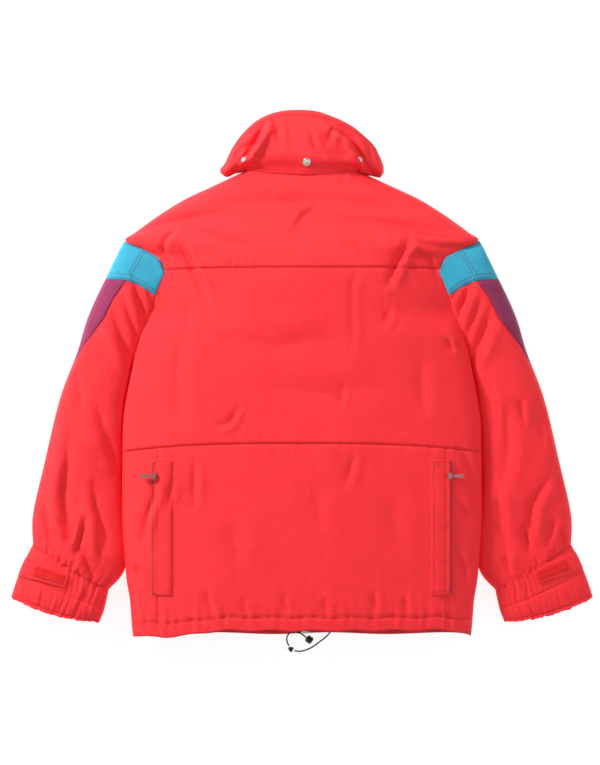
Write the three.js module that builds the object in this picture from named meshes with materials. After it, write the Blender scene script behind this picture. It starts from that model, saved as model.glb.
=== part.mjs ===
// A padded ski jacket laid flat on its front: back upwards, collar towards +Y, sleeves beside the body.
// Millimetres. +Z is up, z = 0 is the surface that the jacket lies on, x = 0 is the centre seam line.
import * as THREE from "three";

// ---- Driving dimensions ----
const bodyHalfWidth = 306; // widest half width of the body, below the armhole
const bodyLength = 783; // back hem to the neck seam
const armholeDepth = 255; // neck seam to the lowest point of the armhole
const neckHalfWidth = 93; // half of the neck seam
const neckY = 348; // height of the neck seam above the frame's origin
const bodyThickness = 85; // the body lying flat, its widest point
const bodyMid = 40; // height of the side seam over the table
const shellT = 1.2; // shell cloth, drawn as one firm layer
const paddingT = 6.2; // insulation wadding
const liningT = 0.9; // lining cloth
const clearance = 0.3; // between layers that touch on the real jacket
const seamGap = 0.4; // between panels that are sewn edge to edge
const pocketDepth = 5.6; // free height inside the rear pocket
const lowerPaddingT = 4.6; // thinner wadding behind the rear pocket
const sleevePaddingT = 5.2; // wadding in the sleeves
const yokeY = 179; // seam between the yoke and the back panel
const pocketSeamY = -118; // seam along the top of the rear pocket panel
const pocketHalfWidth = 245; // seam at each side of the rear pocket panel
const frontDrop = 11; // how much further the front hem reaches than the back one
const sleeveReach = 1; // sleeve length as a share of its pattern
const sleeveMid = 26; // height of the sleeve's edge seams
const sleeveRise = 32; // sleeve crown above its edge seams
const shoulderR = 65; // arc along which the sleeve meets the shoulder panel
const shoulderX = bodyHalfWidth - 36; // the point that the sleeve swings about
const shoulderY = 190;
const cuffRise = 21;
const cuffMid = 19;
const collarThickness = 62;
const collarMid = 31;
const zipChannel = 11; // half of the gap between the two fronts
const tapeWidth = 8;
const sliderW = 8;
const sliderL = 10;
const sliderT = 4;
const pullL = 19;
const pullW = 7;
const pullT = 1.6;
const frontZipTop = 300;
const cordD = 2.5;
const cordLockD = 9;
const cordLockL = 15;
const buttonD = 7;
const buttonL = 6;
const buttonTravel = 3;
const snapD = 14;
const smallSnapD = 11;
const snapT = 2.4;
const tabT = 1.6;
const elasticT = 1.6;

// ---- Colours and finishes ----
const red = new THREE.MeshStandardMaterial({ color: 0xfa4048, roughness: 0.62 });
const redPatch = new THREE.MeshStandardMaterial({ color: 0xee3030, roughness: 0.9 });
const teal = new THREE.MeshStandardMaterial({ color: 0x47b8d8, roughness: 0.6 });
const purple = new THREE.MeshStandardMaterial({ color: 0xa03c6c, roughness: 0.6 });
const wadding = new THREE.MeshStandardMaterial({ color: 0xf2f2ee, roughness: 1 });
const lining = new THREE.MeshStandardMaterial({ color: 0xd8404c, roughness: 0.7 });
const tape = new THREE.MeshStandardMaterial({ color: 0xc8323c, roughness: 0.85 });
const nickel = new THREE.MeshStandardMaterial({ color: 0xc8c4be, roughness: 0.3, metalness: 1 });
const dark = new THREE.MeshStandardMaterial({ color: 0x2c2628, roughness: 0.5 });
const cordCloth = new THREE.MeshStandardMaterial({ color: 0x4b3c3e, roughness: 0.9 });

const root = new THREE.Group();
const lerp = THREE.MathUtils.lerp;
const clamp = THREE.MathUtils.clamp;

function add(name, geometry, material, mirrored = false) {
  const mesh = new THREE.Mesh(mirrored ? mirror(geometry) : geometry, material);
  mesh.name = name;
  root.add(mesh);
  return mesh;
}

// The same solid on the other side of the centre line, its faces turned back outwards.
function mirror(geometry) {
  const copy = geometry.index ? geometry.toNonIndexed() : geometry.clone();
  const p = copy.getAttribute("position");
  const q = new Float32Array(p.count * 3);
  for (let i = 0; i < p.count; i += 3) {
    [i, i + 2, i + 1].forEach((from, k) => {
      q[(i + k) * 3] = -p.getX(from);
      q[(i + k) * 3 + 1] = p.getY(from);
      q[(i + k) * 3 + 2] = p.getZ(from);
    });
  }
  return new THREE.BufferGeometry().setAttribute("position", new THREE.BufferAttribute(q, 3));
}

// The nine numbers of each triangle, turned round where the grid ran the other way and faces pointed in.
function outward(position) {
  const [a, b, c] = [new THREE.Vector3(), new THREE.Vector3(), new THREE.Vector3()];
  let volume = 0;
  for (let i = 0; i < position.length; i += 9) {
    a.fromArray(position, i);
    b.fromArray(position, i + 3);
    c.fromArray(position, i + 6);
    volume += a.dot(b.cross(c));
  }
  if (volume > 0) return position;
  const turned = [];
  for (let i = 0; i < position.length; i += 9) {
    turned.push(...position.slice(i, i + 3), ...position.slice(i + 6, i + 9), ...position.slice(i + 3, i + 6));
  }
  return turned;
}

// A closed slab between an outer and an inner grid of points; ring joins the last column to the first.
function slab(outer, inner, nu, nv, ring = false) {
  const position = [];
  const tri = (a, b, c) => position.push(...a, ...b, ...c);
  const quad = (a, b, c, d) => {
    tri(a, c, b);
    tri(a, d, c);
  };
  const columns = ring ? nu : nu + 1;
  const o = [];
  const n = [];
  for (let j = 0; j <= nv; j++) {
    o.push([]);
    n.push([]);
    for (let i = 0; i < columns; i++) {
      o[j].push(outer(i / nu, j / nv));
      n[j].push(inner(i / nu, j / nv));
    }
  }
  const at = (grid, i, j) => grid[j][ring ? i % nu : i];
  for (let j = 0; j < nv; j++) {
    for (let i = 0; i < nu; i++) {
      quad(at(o, i, j), at(o, i + 1, j), at(o, i + 1, j + 1), at(o, i, j + 1));
      quad(at(n, i, j), at(n, i, j + 1), at(n, i + 1, j + 1), at(n, i + 1, j));
    }
  }
  for (let i = 0; i < nu; i++) {
    quad(at(o, i, 0), at(n, i, 0), at(n, i + 1, 0), at(o, i + 1, 0));
    quad(at(o, i, nv), at(o, i + 1, nv), at(n, i + 1, nv), at(n, i, nv));
  }
  for (let j = 0; j < nv && !ring; j++) {
    quad(at(o, 0, j), at(o, 0, j + 1), at(n, 0, j + 1), at(n, 0, j));
    quad(at(o, nu, j), at(n, nu, j), at(n, nu, j + 1), at(o, nu, j + 1));
  }
  const array = new Float32Array(outward(position));
  return new THREE.BufferGeometry().setAttribute("position", new THREE.BufferAttribute(array, 3));
}

// A garment tube lying flat. Its section at v is a low closed loop: angle 0 is the first edge seam,
// PI / 2 the middle of the upper side, PI the other edge and 3 PI / 2 the middle of the flat underside.
function tubePoint(tube, angle, v, depth) {
  const wide = tube.width(v);
  const s = Math.sin(angle);
  const u = (0.5 - 0.5 * Math.cos(angle)) * (1 - (2 * depth) / wide) + depth / wide;
  const [x, y] = tube.plan(u, v);
  const crown = s >= 0 ? Math.pow(s, tube.power ?? 0.7) : Math.min(1, -s / 0.45);
  const height = s >= 0 ? tube.up(v) : tube.mid(v);
  const sign = s >= 0 ? 1 : -1;
  const half = tube.joined ? 0 : seamGap / 2;
  return [x, y, tube.mid(v) + sign * (half + Math.max(0, height - half - depth) * crown)];
}

// A panel of a tube between two angles and two stations; from and to may be functions of v.
// The stations are v0 to v1 in nv equal steps, or the list v0.
function panel(tube, from, to, v0, v1, d0, d1, nu, nv, ring = false) {
  const f = typeof from === "function" ? from : () => from;
  const t = typeof to === "function" ? to : () => to;
  const steps = nv ?? v0.length - 1;
  const station = (j) => (nv ? lerp(v0, v1, j) : v0[Math.round(j * steps)]);
  const point = (depth) => (i, j) => {
    const v = station(j);
    return tubePoint(tube, lerp(f(v, depth), t(v, depth), i), v, depth);
  };
  return slab(point(d0), point(d1), nu, steps, ring);
}

// ---- The body: half width against height above the hem ----
const hemY = neckY - bodyLength;
const hemToArmhole = bodyLength - armholeDepth;
// Rows of height and half width: by share of the length under the armhole, then by distance below the neck.
const underArmhole = [
  [0, 17.1],
  [0.091, 13.2],
  [0.167, 7],
  [0.403, 0],
  [0.633, 0.9],
  [0.867, 23.9],
  [1, 44.1],
].map(([share, inset]) => [hemY + share * hemToArmhole, bodyHalfWidth - inset]);
const aroundArmhole = [
  [182, 75],
  [147, 12.2],
  [125, -6.1],
].map(([drop, inset]) => [neckY - drop, bodyHalfWidth - inset]);
const towardsNeck = [
  [96, 0.826],
  [51, 0.489],
  [0, 0],
].map(([drop, share]) => [neckY - drop, neckHalfWidth + share * (bodyHalfWidth + 6.1 - neckHalfWidth)]);
const sideLine = [...underArmhole, ...aroundArmhole, ...towardsNeck];
const armholeTop = sideLine[9][0];
const armholeLow = sideLine[6][0];

function table(rows, y) {
  let i = 0;
  while (i < rows.length - 2 && y > rows[i + 1][0]) i++;
  const [a, b] = [rows[i], rows[i + 1]];
  return lerp(a[1], b[1], clamp((y - a[0]) / (b[0] - a[0]), 0, 1));
}

const halfWidth = (y) => table(sideLine, y);
const bodyScale = (y) => 1 - 0.42 * THREE.MathUtils.smoothstep(y, 150, neckY + 1);
const body = {
  // v is the height y itself
  plan: (u, v) => [halfWidth(v) * (1 - 2 * u), v],
  width: (v) => 2 * halfWidth(v),
  mid: (v) => bodyMid * bodyScale(v),
  up: (v) => (bodyThickness - bodyMid) * bodyScale(v),
};
// Within the armhole the upper and lower sides stop short of the edge, which leaves the arm's way open.
const armhole = 0.5;
const openSide = (v) => (v > armholeLow && v < armholeTop ? armhole : 0);
const backFrom = (v) => openSide(v);
const backTo = (v) => Math.PI - openSide(v);

// Rows of a body panel are set where the side line bends, so that edges follow it exactly.
function bodyPanel(from, to, y0, y1, d0, d1, nu) {
  const bends = [];
  for (const [y] of sideLine) {
    if (y > y0 + 5 && y < y1 - 5) bends.push(y);
    if (Math.abs(y - armholeLow) < 1 || Math.abs(y - armholeTop) < 1) {
      const next = y + (y === armholeLow ? -seamGap : seamGap);
      if (next > y0 + 5 && next < y1 - 5) bends.push(next);
    }
  }
  const rows = [y0, ...bends.sort((a, b) => a - b), y1];
  return panel(body, from, to, rows, null, d0, d1, nu, null);
}

const backPadding = shellT + clearance;
const backLining = backPadding + paddingT + clearance;
const pocketBack = shellT + pocketDepth;
const lowerPadding = pocketBack + shellT + clearance;
const lowerLining = lowerPadding + lowerPaddingT + clearance;
const top = neckY - seamGap;
const backColumns = 10;

add("back_yoke", bodyPanel(backFrom, backTo, yokeY, top, 0, shellT, backColumns), red);
add("back_panel", bodyPanel(backFrom, backTo, pocketSeamY, yokeY - seamGap, 0, shellT, backColumns), red);
add(
  "back_padding",
  bodyPanel(backFrom, backTo, pocketSeamY, top, backPadding, backPadding + paddingT, backColumns),
  wadding,
);

// The lower back: pocket panel between two side panels, pocket back behind it, then wadding and lining.
const seamAngle = (x) => (v, depth) => Math.acos(clamp(x / (halfWidth(v) - depth), -1, 1));
const lowTop = pocketSeamY - seamGap;
const rightSeam = seamAngle(pocketHalfWidth);
const leftSeam = (v, d) => Math.PI - rightSeam(v, d);
const lowerSide = bodyPanel(0, seamAngle(pocketHalfWidth + seamGap), hemY, lowTop, 0, shellT, 4);
add("rear_pocket_panel", bodyPanel(rightSeam, leftSeam, hemY, lowTop, 0, shellT, backColumns), red);
add("back_side_panel_right", lowerSide, red);
add("back_side_panel_left", lowerSide, red, true);
add("rear_pocket_back", bodyPanel(0, Math.PI, hemY, lowTop, pocketBack, pocketBack + shellT, backColumns), lining);
add(
  "lower_back_padding",
  bodyPanel(0, Math.PI, hemY + 3 * cordD, lowTop, lowerPadding, lowerPadding + lowerPaddingT, backColumns),
  wadding,
);
add("back_lining", bodyPanel(backFrom, backTo, hemY, top, lowerLining, lowerLining + liningT, backColumns), lining);

// ---- The two fronts, face down, with the zip's channel between them ----
const frontHem = hemY - frontDrop;
const frontCentre = (v, depth) => -Math.acos(zipChannel / (halfWidth(v) - depth));
const frontSide = (v) => -openSide(v);
const frontBody = (d0, d1) => bodyPanel(frontCentre, frontSide, frontHem, top, d0, d1, 6);
const frontShell = frontBody(0, shellT);
const frontPadding = frontBody(backPadding, backPadding + paddingT);
const frontLining = frontBody(backLining, backLining + liningT);
for (const [side, mirrored] of [["right", false], ["left", true]]) {
  add(`front_panel_${side}`, frontShell, red, mirrored);
  add(`front_padding_${side}`, frontPadding, wadding, mirrored);
  add(`front_lining_${side}`, frontLining, lining, mirrored);
}

// ---- Shoulder panels and sleeves (right side; the left is its mirror) ----
function spline(points) {
  const curve = new THREE.SplineCurve(points.map(([x, y]) => new THREE.Vector2(x, y)));
  return (t) => curve.getPoint(clamp(t, 0, 1));
}

// A straight-sided line through points, shared evenly along its length.
function polyline(points) {
  const path = new THREE.CurvePath();
  const at = points.map(([x, y]) => new THREE.Vector2(x, y));
  at.slice(1).forEach((end, i) => path.add(new THREE.LineCurve(at[i], end)));
  return (t) => path.getPointAt(clamp(t, 0, 1));
}

const armGap = 1.6;
const sideAt = (y) => halfWidth(y) + armGap;
const arcStart = -0.36;
const arcEnd = -1.62;
const arcPoint = (t, r) => {
  const a = lerp(arcStart, arcEnd, t);
  return new THREE.Vector2(shoulderX + r * Math.cos(a), shoulderY + r * Math.sin(a));
};
const wingY = armholeTop - seamGap;
const armholeLine = polyline([
  [sideAt(wingY) - 6, wingY - 5],
  [sideAt(sideLine[8][0]) + 1, sideLine[8][0] - 9],
  [sideAt(sideLine[7][0]) + 2, sideLine[7][0] - 6],
  [sideAt(sideLine[7][0] - 40), sideLine[7][0] - 36],
]);
const shoulderTube = {
  joined: true,
  power: 0.6,
  plan: (u, v) => {
    const p = armholeLine(u).lerp(arcPoint(u, shoulderR - armGap), v);
    return [p.x, p.y];
  },
  width: () => 130,
  mid: () => sleeveMid,
  up: () => sleeveRise,
};
const ringColumns = 14;
const shoulderPanel = panel(shoulderTube, 0, 2 * Math.PI, 0, 1, 0, shellT, ringColumns, 2, true);

// The sleeve's two edges run from the shoulder arc to the gathered wrist.
const wristOut = [shoulderX + 189 * sleeveReach, shoulderY - 481 * sleeveReach];
const wristIn = [shoulderX + 63 * sleeveReach, shoulderY - 557 * sleeveReach];
const along = (share, bulge) => [
  lerp(arcPoint(0, shoulderR).x, wristOut[0], share) + bulge,
  lerp(arcPoint(0, shoulderR).y, wristOut[1], share),
];
const innerX = (y) => Math.max(halfWidth(y), halfWidth(y - 30), halfWidth(y + 30)) + 2.5 * armGap;
const innerAt = (y) => [innerX(y), y];
const outerEdge = spline([
  [arcPoint(0, shoulderR).x, arcPoint(0, shoulderR).y],
  along(0.27, 16),
  along(0.46, 22),
  along(0.7, 18),
  along(0.9, 10),
  wristOut,
]);
const innerSpan = wristIn[1] - arcPoint(1, shoulderR).y;
const innerEdge = polyline([
  [arcPoint(1, shoulderR).x, arcPoint(1, shoulderR).y],
  innerAt(arcPoint(1, shoulderR).y + 0.2 * innerSpan),
  innerAt(arcPoint(1, shoulderR).y + 0.5 * innerSpan),
  innerAt(arcPoint(1, shoulderR).y + 0.9 * innerSpan),
  wristIn,
]);
const sleeve = {
  plan: (u, v) => {
    const chord = outerEdge(v).lerp(innerEdge(v), u);
    const bow = arcPoint(u, shoulderR + 0.2).sub(arcPoint(0, shoulderR).lerp(arcPoint(1, shoulderR), u));
    const fade = Math.pow(clamp(1 - v / 0.35, 0, 1), 2);
    return [chord.x + bow.x * fade, chord.y + bow.y * fade];
  },
  width: (v) => outerEdge(v).distanceTo(innerEdge(v)),
  mid: (v) => lerp(sleeveMid, cuffMid + 2, v),
  up: (v) => lerp(sleeveRise, cuffRise + 3, v),
};
const stripeEnd = 0.36;
const sleeveRows = [0, 0.25, 0.5, 0.75, 1].map((k) => k * stripeEnd).concat([0.58, 0.8, 1]);
const sleevePadding = shellT + 7 * clearance;
const sleeveLining = sleevePadding + sleevePaddingT + clearance;
const stripeEdge = (v) => 2.0 * Math.pow(clamp(1 - v / stripeEnd, 0, 1), 0.9);
const stripeGap = 0.025;
const upperFrom = (v) => (v < stripeEnd - 0.001 ? stripeEdge(v) + stripeGap : 0);
const sleevePanel = (from, to, d0, d1, nu, ring, rows = sleeveRows) =>
  panel(sleeve, from, to, rows, null, d0, d1, nu, null, ring);
const halfColumns = ringColumns / 2;
const sleeveUpper = sleevePanel(upperFrom, Math.PI, 0, shellT, halfColumns, false);
const sleeveUnder = sleevePanel(-Math.PI, 0, 0, shellT, halfColumns, false);
const sleeveRing = (d0, d1) => sleevePanel(0, 2 * Math.PI, d0, d1, ringColumns, true);

// A coloured panel let into the top of the sleeve, tapering to a point at the outer edge.
const stripeRows = sleeveRows.slice(0, 4);
const stripe = sleevePanel(0, (v) => stripeEdge(v) - stripeGap, 0, shellT, 5, false, stripeRows);

// ---- Cuffs ----
const cuffOuterLength = 92;
const cuffInnerLength = 56;
const down = new THREE.Vector2(0.48, -0.877).normalize();
const cuffOuterRun = new THREE.Vector2(0.44, -0.898).multiplyScalar(cuffOuterLength);
const cuffInnerRun = new THREE.Vector2(0.268, -0.963).multiplyScalar(cuffInnerLength);
const cuffOut = (v) => outerEdge(1).add(down).addScaledVector(cuffOuterRun, v);
const cuffIn = (v) => innerEdge(1).add(down).addScaledVector(cuffInnerRun, v);
const cuff = {
  joined: true,
  plan: (u, v) => {
    const p = cuffOut(v).lerp(cuffIn(v), u);
    return [p.x, p.y];
  },
  width: (v) => cuffOut(v).distanceTo(cuffIn(v)),
  mid: () => cuffMid,
  up: () => cuffRise,
};
const cuffPanel = (v0, v1, d0, d1, nv) =>
  panel(cuff, 0, 2 * Math.PI, v0, v1, d0, d1, ringColumns, nv, true);
const cuffRing = cuffPanel(0, 1, 0, shellT, 3);
const elasticRing = cuffPanel(1 / 9, 2 / 9, 2 * shellT, 2 * shellT + elasticT, 1);
const tabFrom = 0.45;
const tabTo = 1.65;
const tabRows = [0.14, 0.45];
const tabPanel = panel(cuff, tabFrom, tabTo, ...tabRows, -clearance - tabT, -clearance, 8, 2);

for (const [side, mirrored] of [["right", false], ["left", true]]) {
  add(`shoulder_panel_${side}`, shoulderPanel, teal, mirrored);
  add(`sleeve_upper_${side}`, sleeveUpper, red, mirrored);
  add(`sleeve_under_${side}`, sleeveUnder, red, mirrored);
  add(`sleeve_stripe_${side}`, stripe, purple, mirrored);
  add(`sleeve_padding_${side}`, sleeveRing(sleevePadding, sleevePadding + sleevePaddingT), wadding, mirrored);
  add(`sleeve_lining_${side}`, sleeveRing(sleeveLining, sleeveLining + liningT), lining, mirrored);
  add(`cuff_${side}`, cuffRing, red, mirrored);
  add(`cuff_elastic_${side}`, elasticRing, tape, mirrored);
  add(`cuff_tab_${side}`, tabPanel, red, mirrored);
}

// ---- Collar: a stand collar folded flat, open along the front centre and at its top edge ----
const collarH = 98;
const collarHalfWidth = 140;
const collarLine = [
  [0, 0.84],
  [0.09, 1],
  [0.25, 0.965],
  [0.48, 0.88],
  [0.66, 0.75],
  [0.86, 0.585],
  [1, 0.41],
].map(([rise, share]) => [neckY + rise * collarH, share * collarHalfWidth]);
const collarHalf = (y) => table(collarLine, y);
const collarScale = (y) => 1 - 0.3 * THREE.MathUtils.smoothstep(y, neckY + collarH / 3, neckY + collarH);
const collar = {
  joined: true,
  plan: (u, v) => [collarHalf(v) * (1 - 2 * u), v],
  width: (v) => 2 * collarHalf(v),
  mid: (v) => collarMid * collarScale(v),
  up: (v) => (collarThickness - collarMid) * collarScale(v),
};
const collarRows = 6;
const collarFront = (v, d) => -Math.acos(zipChannel / (collarHalf(v) - d));
const collarBack = (v, d) => Math.PI - collarFront(v, d);
const collarShell = (d0, d1) =>
  panel(collar, collarFront, collarBack, neckY, neckY + collarH, d0, d1, ringColumns, collarRows);
const collarPaddingT = 4.4;
const collarInner = backPadding + collarPaddingT + clearance;
add("collar_outer", collarShell(0, shellT), red);
add("collar_padding", collarShell(backPadding, backPadding + collarPaddingT), wadding);
add("collar_inner", collarShell(collarInner, collarInner + liningT), red);

// ---- What is sewn inside the back of the neck ----
const inside = lowerLining + liningT + 3 * clearance;
const loopT = 1.4;
const loopSpread = 0.3;
const loopSpan = [Math.PI / 2 - loopSpread, Math.PI / 2 + loopSpread];
const loopDepth = [inside, inside + loopT];
add("hanger_loop", panel(body, ...loopSpan, neckY - 14, neckY - 8, ...loopDepth, 4, 1), lining);

// ---- Press studs that hold the hood ----
function stud(d, t) {
  const r = d / 2;
  const profile = [
    [0, 0],
    [r, 0],
    [r, t * 0.35],
    [r * 0.82, t * 0.75],
    [r * 0.5, t],
    [r * 0.36, t * 0.62],
    [0, t * 0.62],
  ].map(([x, y]) => new THREE.Vector2(x, y));
  return new THREE.LatheGeometry(profile, 20).rotateX(Math.PI / 2);
}

// The height of a tube's upper side at a place, and the slope of the cloth there.
function onUpper(tube, half, x, y, lift) {
  const at = (offset) => tubePoint(tube, Math.acos(clamp((x + offset) / half(y), -1, 1)), y, -lift)[2];
  return { z: at(0), tilt: Math.atan2(at(-4) - at(4), 8) };
}
const snapX = 8; // the collar lies a little turned
const snapY = neckY + 11;
const sideSnapX = 99;
const sideSnapY = neckY + 16;
const snapLift = 0.8;
const centreSnap = onUpper(collar, collarHalf, snapX, snapY, snapLift);
const sideSnap = onUpper(collar, collarHalf, sideSnapX, sideSnapY, 3 * snapLift);
add("hood_snap_centre", stud(snapD, snapT), nickel).position.set(snapX, snapY, centreSnap.z);
for (const [side, sign] of [["right", 1], ["left", -1]]) {
  const snap = add(`hood_snap_${side}`, stud(smallSnapD, snapT), nickel);
  snap.position.set(sign * sideSnapX, sideSnapY, sideSnap.z);
  snap.rotation.y = sign * sideSnap.tilt;
}

// ---- Rear pocket zips: tape, coil, slider and pull at each side of the pocket panel ----
const zipTop = pocketSeamY - 28;
const zipLow = hemY + 61;
const strip = (x0, x1, d0, d1) => panel(body, seamAngle(x1), seamAngle(x0), zipLow, zipTop, d0, d1, 1, 3);
const coilX = pocketHalfWidth + tapeWidth / 2;
const coilW = 4;
const coilT = 1.1;
const coilLift = 1.2;
const rearCoil = strip(coilX - coilW / 2, coilX + coilW / 2, -coilLift - coilT, -coilLift);

function sliderBody(w, l, t) {
  const shape = new THREE.Shape();
  shape.moveTo(-w * 0.3, -l / 2);
  shape.lineTo(w * 0.3, -l / 2);
  shape.lineTo(w / 2, l * 0.1);
  shape.quadraticCurveTo(w / 2, l / 2, w * 0.25, l / 2);
  shape.lineTo(-w * 0.25, l / 2);
  shape.quadraticCurveTo(-w / 2, l / 2, -w / 2, l * 0.1);
  shape.closePath();
  return new THREE.ExtrudeGeometry(shape, { depth: t, bevelEnabled: false, curveSegments: 4 });
}

// A pull lying along +X from its pivot, with a round hole near its far end.
function pullTab(l, w, t) {
  const end = w / 2;
  const shape = new THREE.Shape();
  shape.moveTo(0, -w * 0.3);
  shape.lineTo(l - end, -end);
  shape.absarc(l - end, 0, end, -Math.PI / 2, Math.PI / 2, false);
  shape.lineTo(0, w * 0.3);
  shape.closePath();
  const hole = new THREE.Path();
  hole.absarc(l - end, 0, end * 0.5, 0, 2 * Math.PI, true);
  shape.holes.push(hole);
  return new THREE.ExtrudeGeometry(shape, { depth: t, bevelEnabled: false, curveSegments: 6 });
}

const pullRoom = 1.3; // the pull turns about a ring at the slider's edge
const sliderY = zipTop - 26;
const sliderLift = coilLift + coilT + 1;
const sliderAt = onUpper(body, halfWidth, coilX, sliderY, sliderLift);
for (const [side, sign] of [["right", 1], ["left", -1]]) {
  add(`rear_zip_${side}`, rearCoil, tape, sign < 0);
  const seat = new THREE.Group();
  seat.position.set(sign * coilX, sliderY, sliderAt.z);
  seat.rotation.y = sign * sliderAt.tilt;
  root.add(seat);
  seat.add(add(`rear_zip_slider_${side}`, sliderBody(sliderW, sliderL, sliderT), nickel));
  const pull = add(`rear_zip_pull_${side}`, pullTab(pullL, pullW, pullT), redPatch);
  pull.position.set(sign * (sliderW / 2 + pullRoom), 0, sliderT);
  if (sign < 0) pull.rotation.z = Math.PI;
  seat.add(pull);
}

// ---- Main zip, in the channel between the two fronts ----
function boxAt(x0, x1, y0, y1, z0, z1) {
  const geometry = new THREE.BoxGeometry(x1 - x0, y1 - y0, z1 - z0);
  return geometry.translate((x0 + x1) / 2, (y0 + y1) / 2, (z0 + z1) / 2);
}
const mainLow = frontHem + 2;
const mainTapeT = 1.6;
const flapZ = backLining + liningT + clearance;
const tapeZ = flapZ - 2 * mainTapeT;
const tapeEdge = zipChannel - clearance;
const tapeInner = clearance / 2;
const mainTape = boxAt(tapeInner, tapeEdge, mainLow, frontZipTop, tapeZ, tapeZ + mainTapeT);
add("main_zip_tape_right", mainTape, tape);
add("main_zip_tape_left", mainTape, tape, true);
const flapHalfWidth = 24;
add("storm_flap", boxAt(-flapHalfWidth, flapHalfWidth, frontHem + 30, frontZipTop, flapZ, flapZ + 1.6), red);
const mainSliderY = frontZipTop - 12;
const mainSliderZ = 2.4;
const mainSliderT = tapeZ - clearance - mainSliderZ;
const mainSlider = add("main_zip_slider", sliderBody(sliderW + 3, sliderL + 3, mainSliderT), dark);
mainSlider.position.set(0, mainSliderY, mainSliderZ);
const mainPullT = 1.3;
const mainPull = add("main_zip_pull", pullTab(pullL + 8, pullW, mainPullT), dark);
mainPull.position.set(0, mainSliderY, mainSliderZ - clearance - mainPullT);
mainPull.rotation.z = -Math.PI / 2;

// ---- Hem draw cord, its lock and its ends, lying on the front hem and on the table ----
const hemFace = backLining + liningT; // inner face of the front, at the hem
const cordR = cordD / 2;
const onHem = hemFace + 2 * clearance + cordR;
const onTable = cordR + 0.15;
function cordTube(points, steps) {
  const section = new THREE.Shape();
  const corners = 8;
  for (let i = 0; i < corners; i++) {
    const a = (i / corners) * 2 * Math.PI;
    section[i ? "lineTo" : "moveTo"](cordR * Math.cos(a), cordR * Math.sin(a));
  }
  section.closePath();
  const extrudePath = new THREE.CatmullRomCurve3(points.map((p) => new THREE.Vector3(...p)));
  return new THREE.ExtrudeGeometry(section, { steps, extrudePath });
}
const tunnelY = hemY + 1.5;
const tunnelD = lowerPadding + 1;
const cordSpan = Math.PI / backColumns;
const hemCord = (d0, d1) =>
  panel(body, cordSpan, Math.PI - cordSpan, tunnelY, tunnelY + cordD, d0, d1, backColumns - 2, 1);
add("hem_cord", hemCord(tunnelD, tunnelD + cordD), cordCloth);

const lockX = -4;
const lockY = frontHem + 10.5;
const lockZ = hemFace + clearance + cordLockD / 2;
const lockLeft = lockX - cordLockL / 2;
const lockRight = lockX + cordLockL / 2;
const boreR = buttonD / 2 + clearance;
const boreDepth = cordLockL - 4;
const lockR = cordLockD / 2;
const rim = 0.8;
// A turned piece lying along +X, from pairs of radius and distance.
const turned = (pairs) =>
  new THREE.LatheGeometry(pairs.map(([x, y]) => new THREE.Vector2(x, y)), 16).rotateZ(-Math.PI / 2);
const barrel = turned([
  [0, 0],
  [lockR - rim, 0],
  [lockR, rim],
  [lockR, cordLockL],
  [boreR, cordLockL],
  [boreR, cordLockL - boreDepth],
  [0, cordLockL - boreDepth],
]);
add("cord_lock", barrel, dark).position.set(lockLeft, lockY, lockZ);
const buttonIn = 5;
const button = turned([
  [0, 0],
  [buttonD / 2, 0],
  [buttonD / 2, buttonIn + buttonL - rim],
  [buttonD / 2 - rim, buttonIn + buttonL],
  [0, buttonIn + buttonL],
]);
add("cord_lock_button", button, dark).position.set(lockRight - buttonIn, lockY, lockZ);
const springR = 2.4;
const springL = boreDepth - buttonIn - buttonTravel - 2 * clearance;
const spring = turned([
  [springR - rim, 0],
  [springR, 0],
  [springR, springL],
  [springR - rim, springL],
  [springR - rim, 0],
]);
add("cord_lock_spring", spring, nickel).position.set(lockRight - boreDepth + clearance, lockY, lockZ);

const knotR = 5;
const knotX = -19;
const knotY = -473;
const knotZ = knotR + 0.15;
add("drawcord_knot", new THREE.SphereGeometry(knotR, 14, 10), cordCloth).position.set(knotX, knotY, knotZ);
const loopRight = [
  [62, -427, onHem],
  [54, -436, onHem],
  [46, -446, onHem],
  [41.5, -451, onHem - 2.5],
  [37, -455.5, onHem - 6.5],
  [31, -460, onTable + 0.4],
  [22, -467, onTable],
  [10, -473.5, onTable],
  [-3, -477, onTable + 0.4],
  [-12.9, -475.5, onTable + 2.6],
];
const loopLeft = [
  [-22.6, -467.6, onTable + 2.6],
  [-25.5, -460.5, onTable + 1],
  [-26.2, -454, onTable + 3],
  [-25, -450, onHem - 1.6],
  [-22.5, -445.5, onHem + 0.3],
  [-18, -439.5, onHem + 1.4],
  [-13.2, -436.6, onHem + 2.6],
];
add("drawcord_loop_right", cordTube(loopRight, 26), cordCloth);
add("drawcord_loop_left", cordTube(loopLeft, backColumns), cordCloth);
const cordEnd = [
  [-30, -427, onHem],
  [-26, -430.5, onHem + 3],
  [-18.5, -436.8, onHem + 5.2],
  [-11.5, -442.6, onHem + 2],
  [-3, -444.8, onHem],
  [3, -449, onHem - 2],
  [7.4, -452.6, onHem - 3.8],
];
add("drawcord_end", cordTube(cordEnd, 16), cordCloth);
const beadR = 6.5;
const bead = turned([
  [0, 0],
  [beadR * 0.7, 0],
  [beadR, 2.4],
  [beadR, 4.4],
  [beadR * 0.86, 5],
  [beadR * 0.86, 6.4],
  [beadR, 7],
  [beadR, 9],
  [beadR * 0.7, 11.4],
  [0, 11.4],
]);
const beadMesh = add("drawcord_bead", bead, dark);
beadMesh.position.set(7.9, -453, beadR + 0.15);
beadMesh.rotation.z = -0.62;

export default root;
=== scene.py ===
# %% [markdown]
# # A padded ski jacket, laid out flat with its back up
# The jacket lies on its front on a pale table. Its back is a yoke, a back panel and a big rear pocket
# panel with a zip at each side. Turquoise shoulder panels and plum stripes break up the red sleeves,
# the cuffs have a strap and elastic, the collar stands in a soft roll, and a thin draw cord comes out
# at the hem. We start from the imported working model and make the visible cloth, stitching and fittings
# around it.

# %% Load the frame
import math

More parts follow.
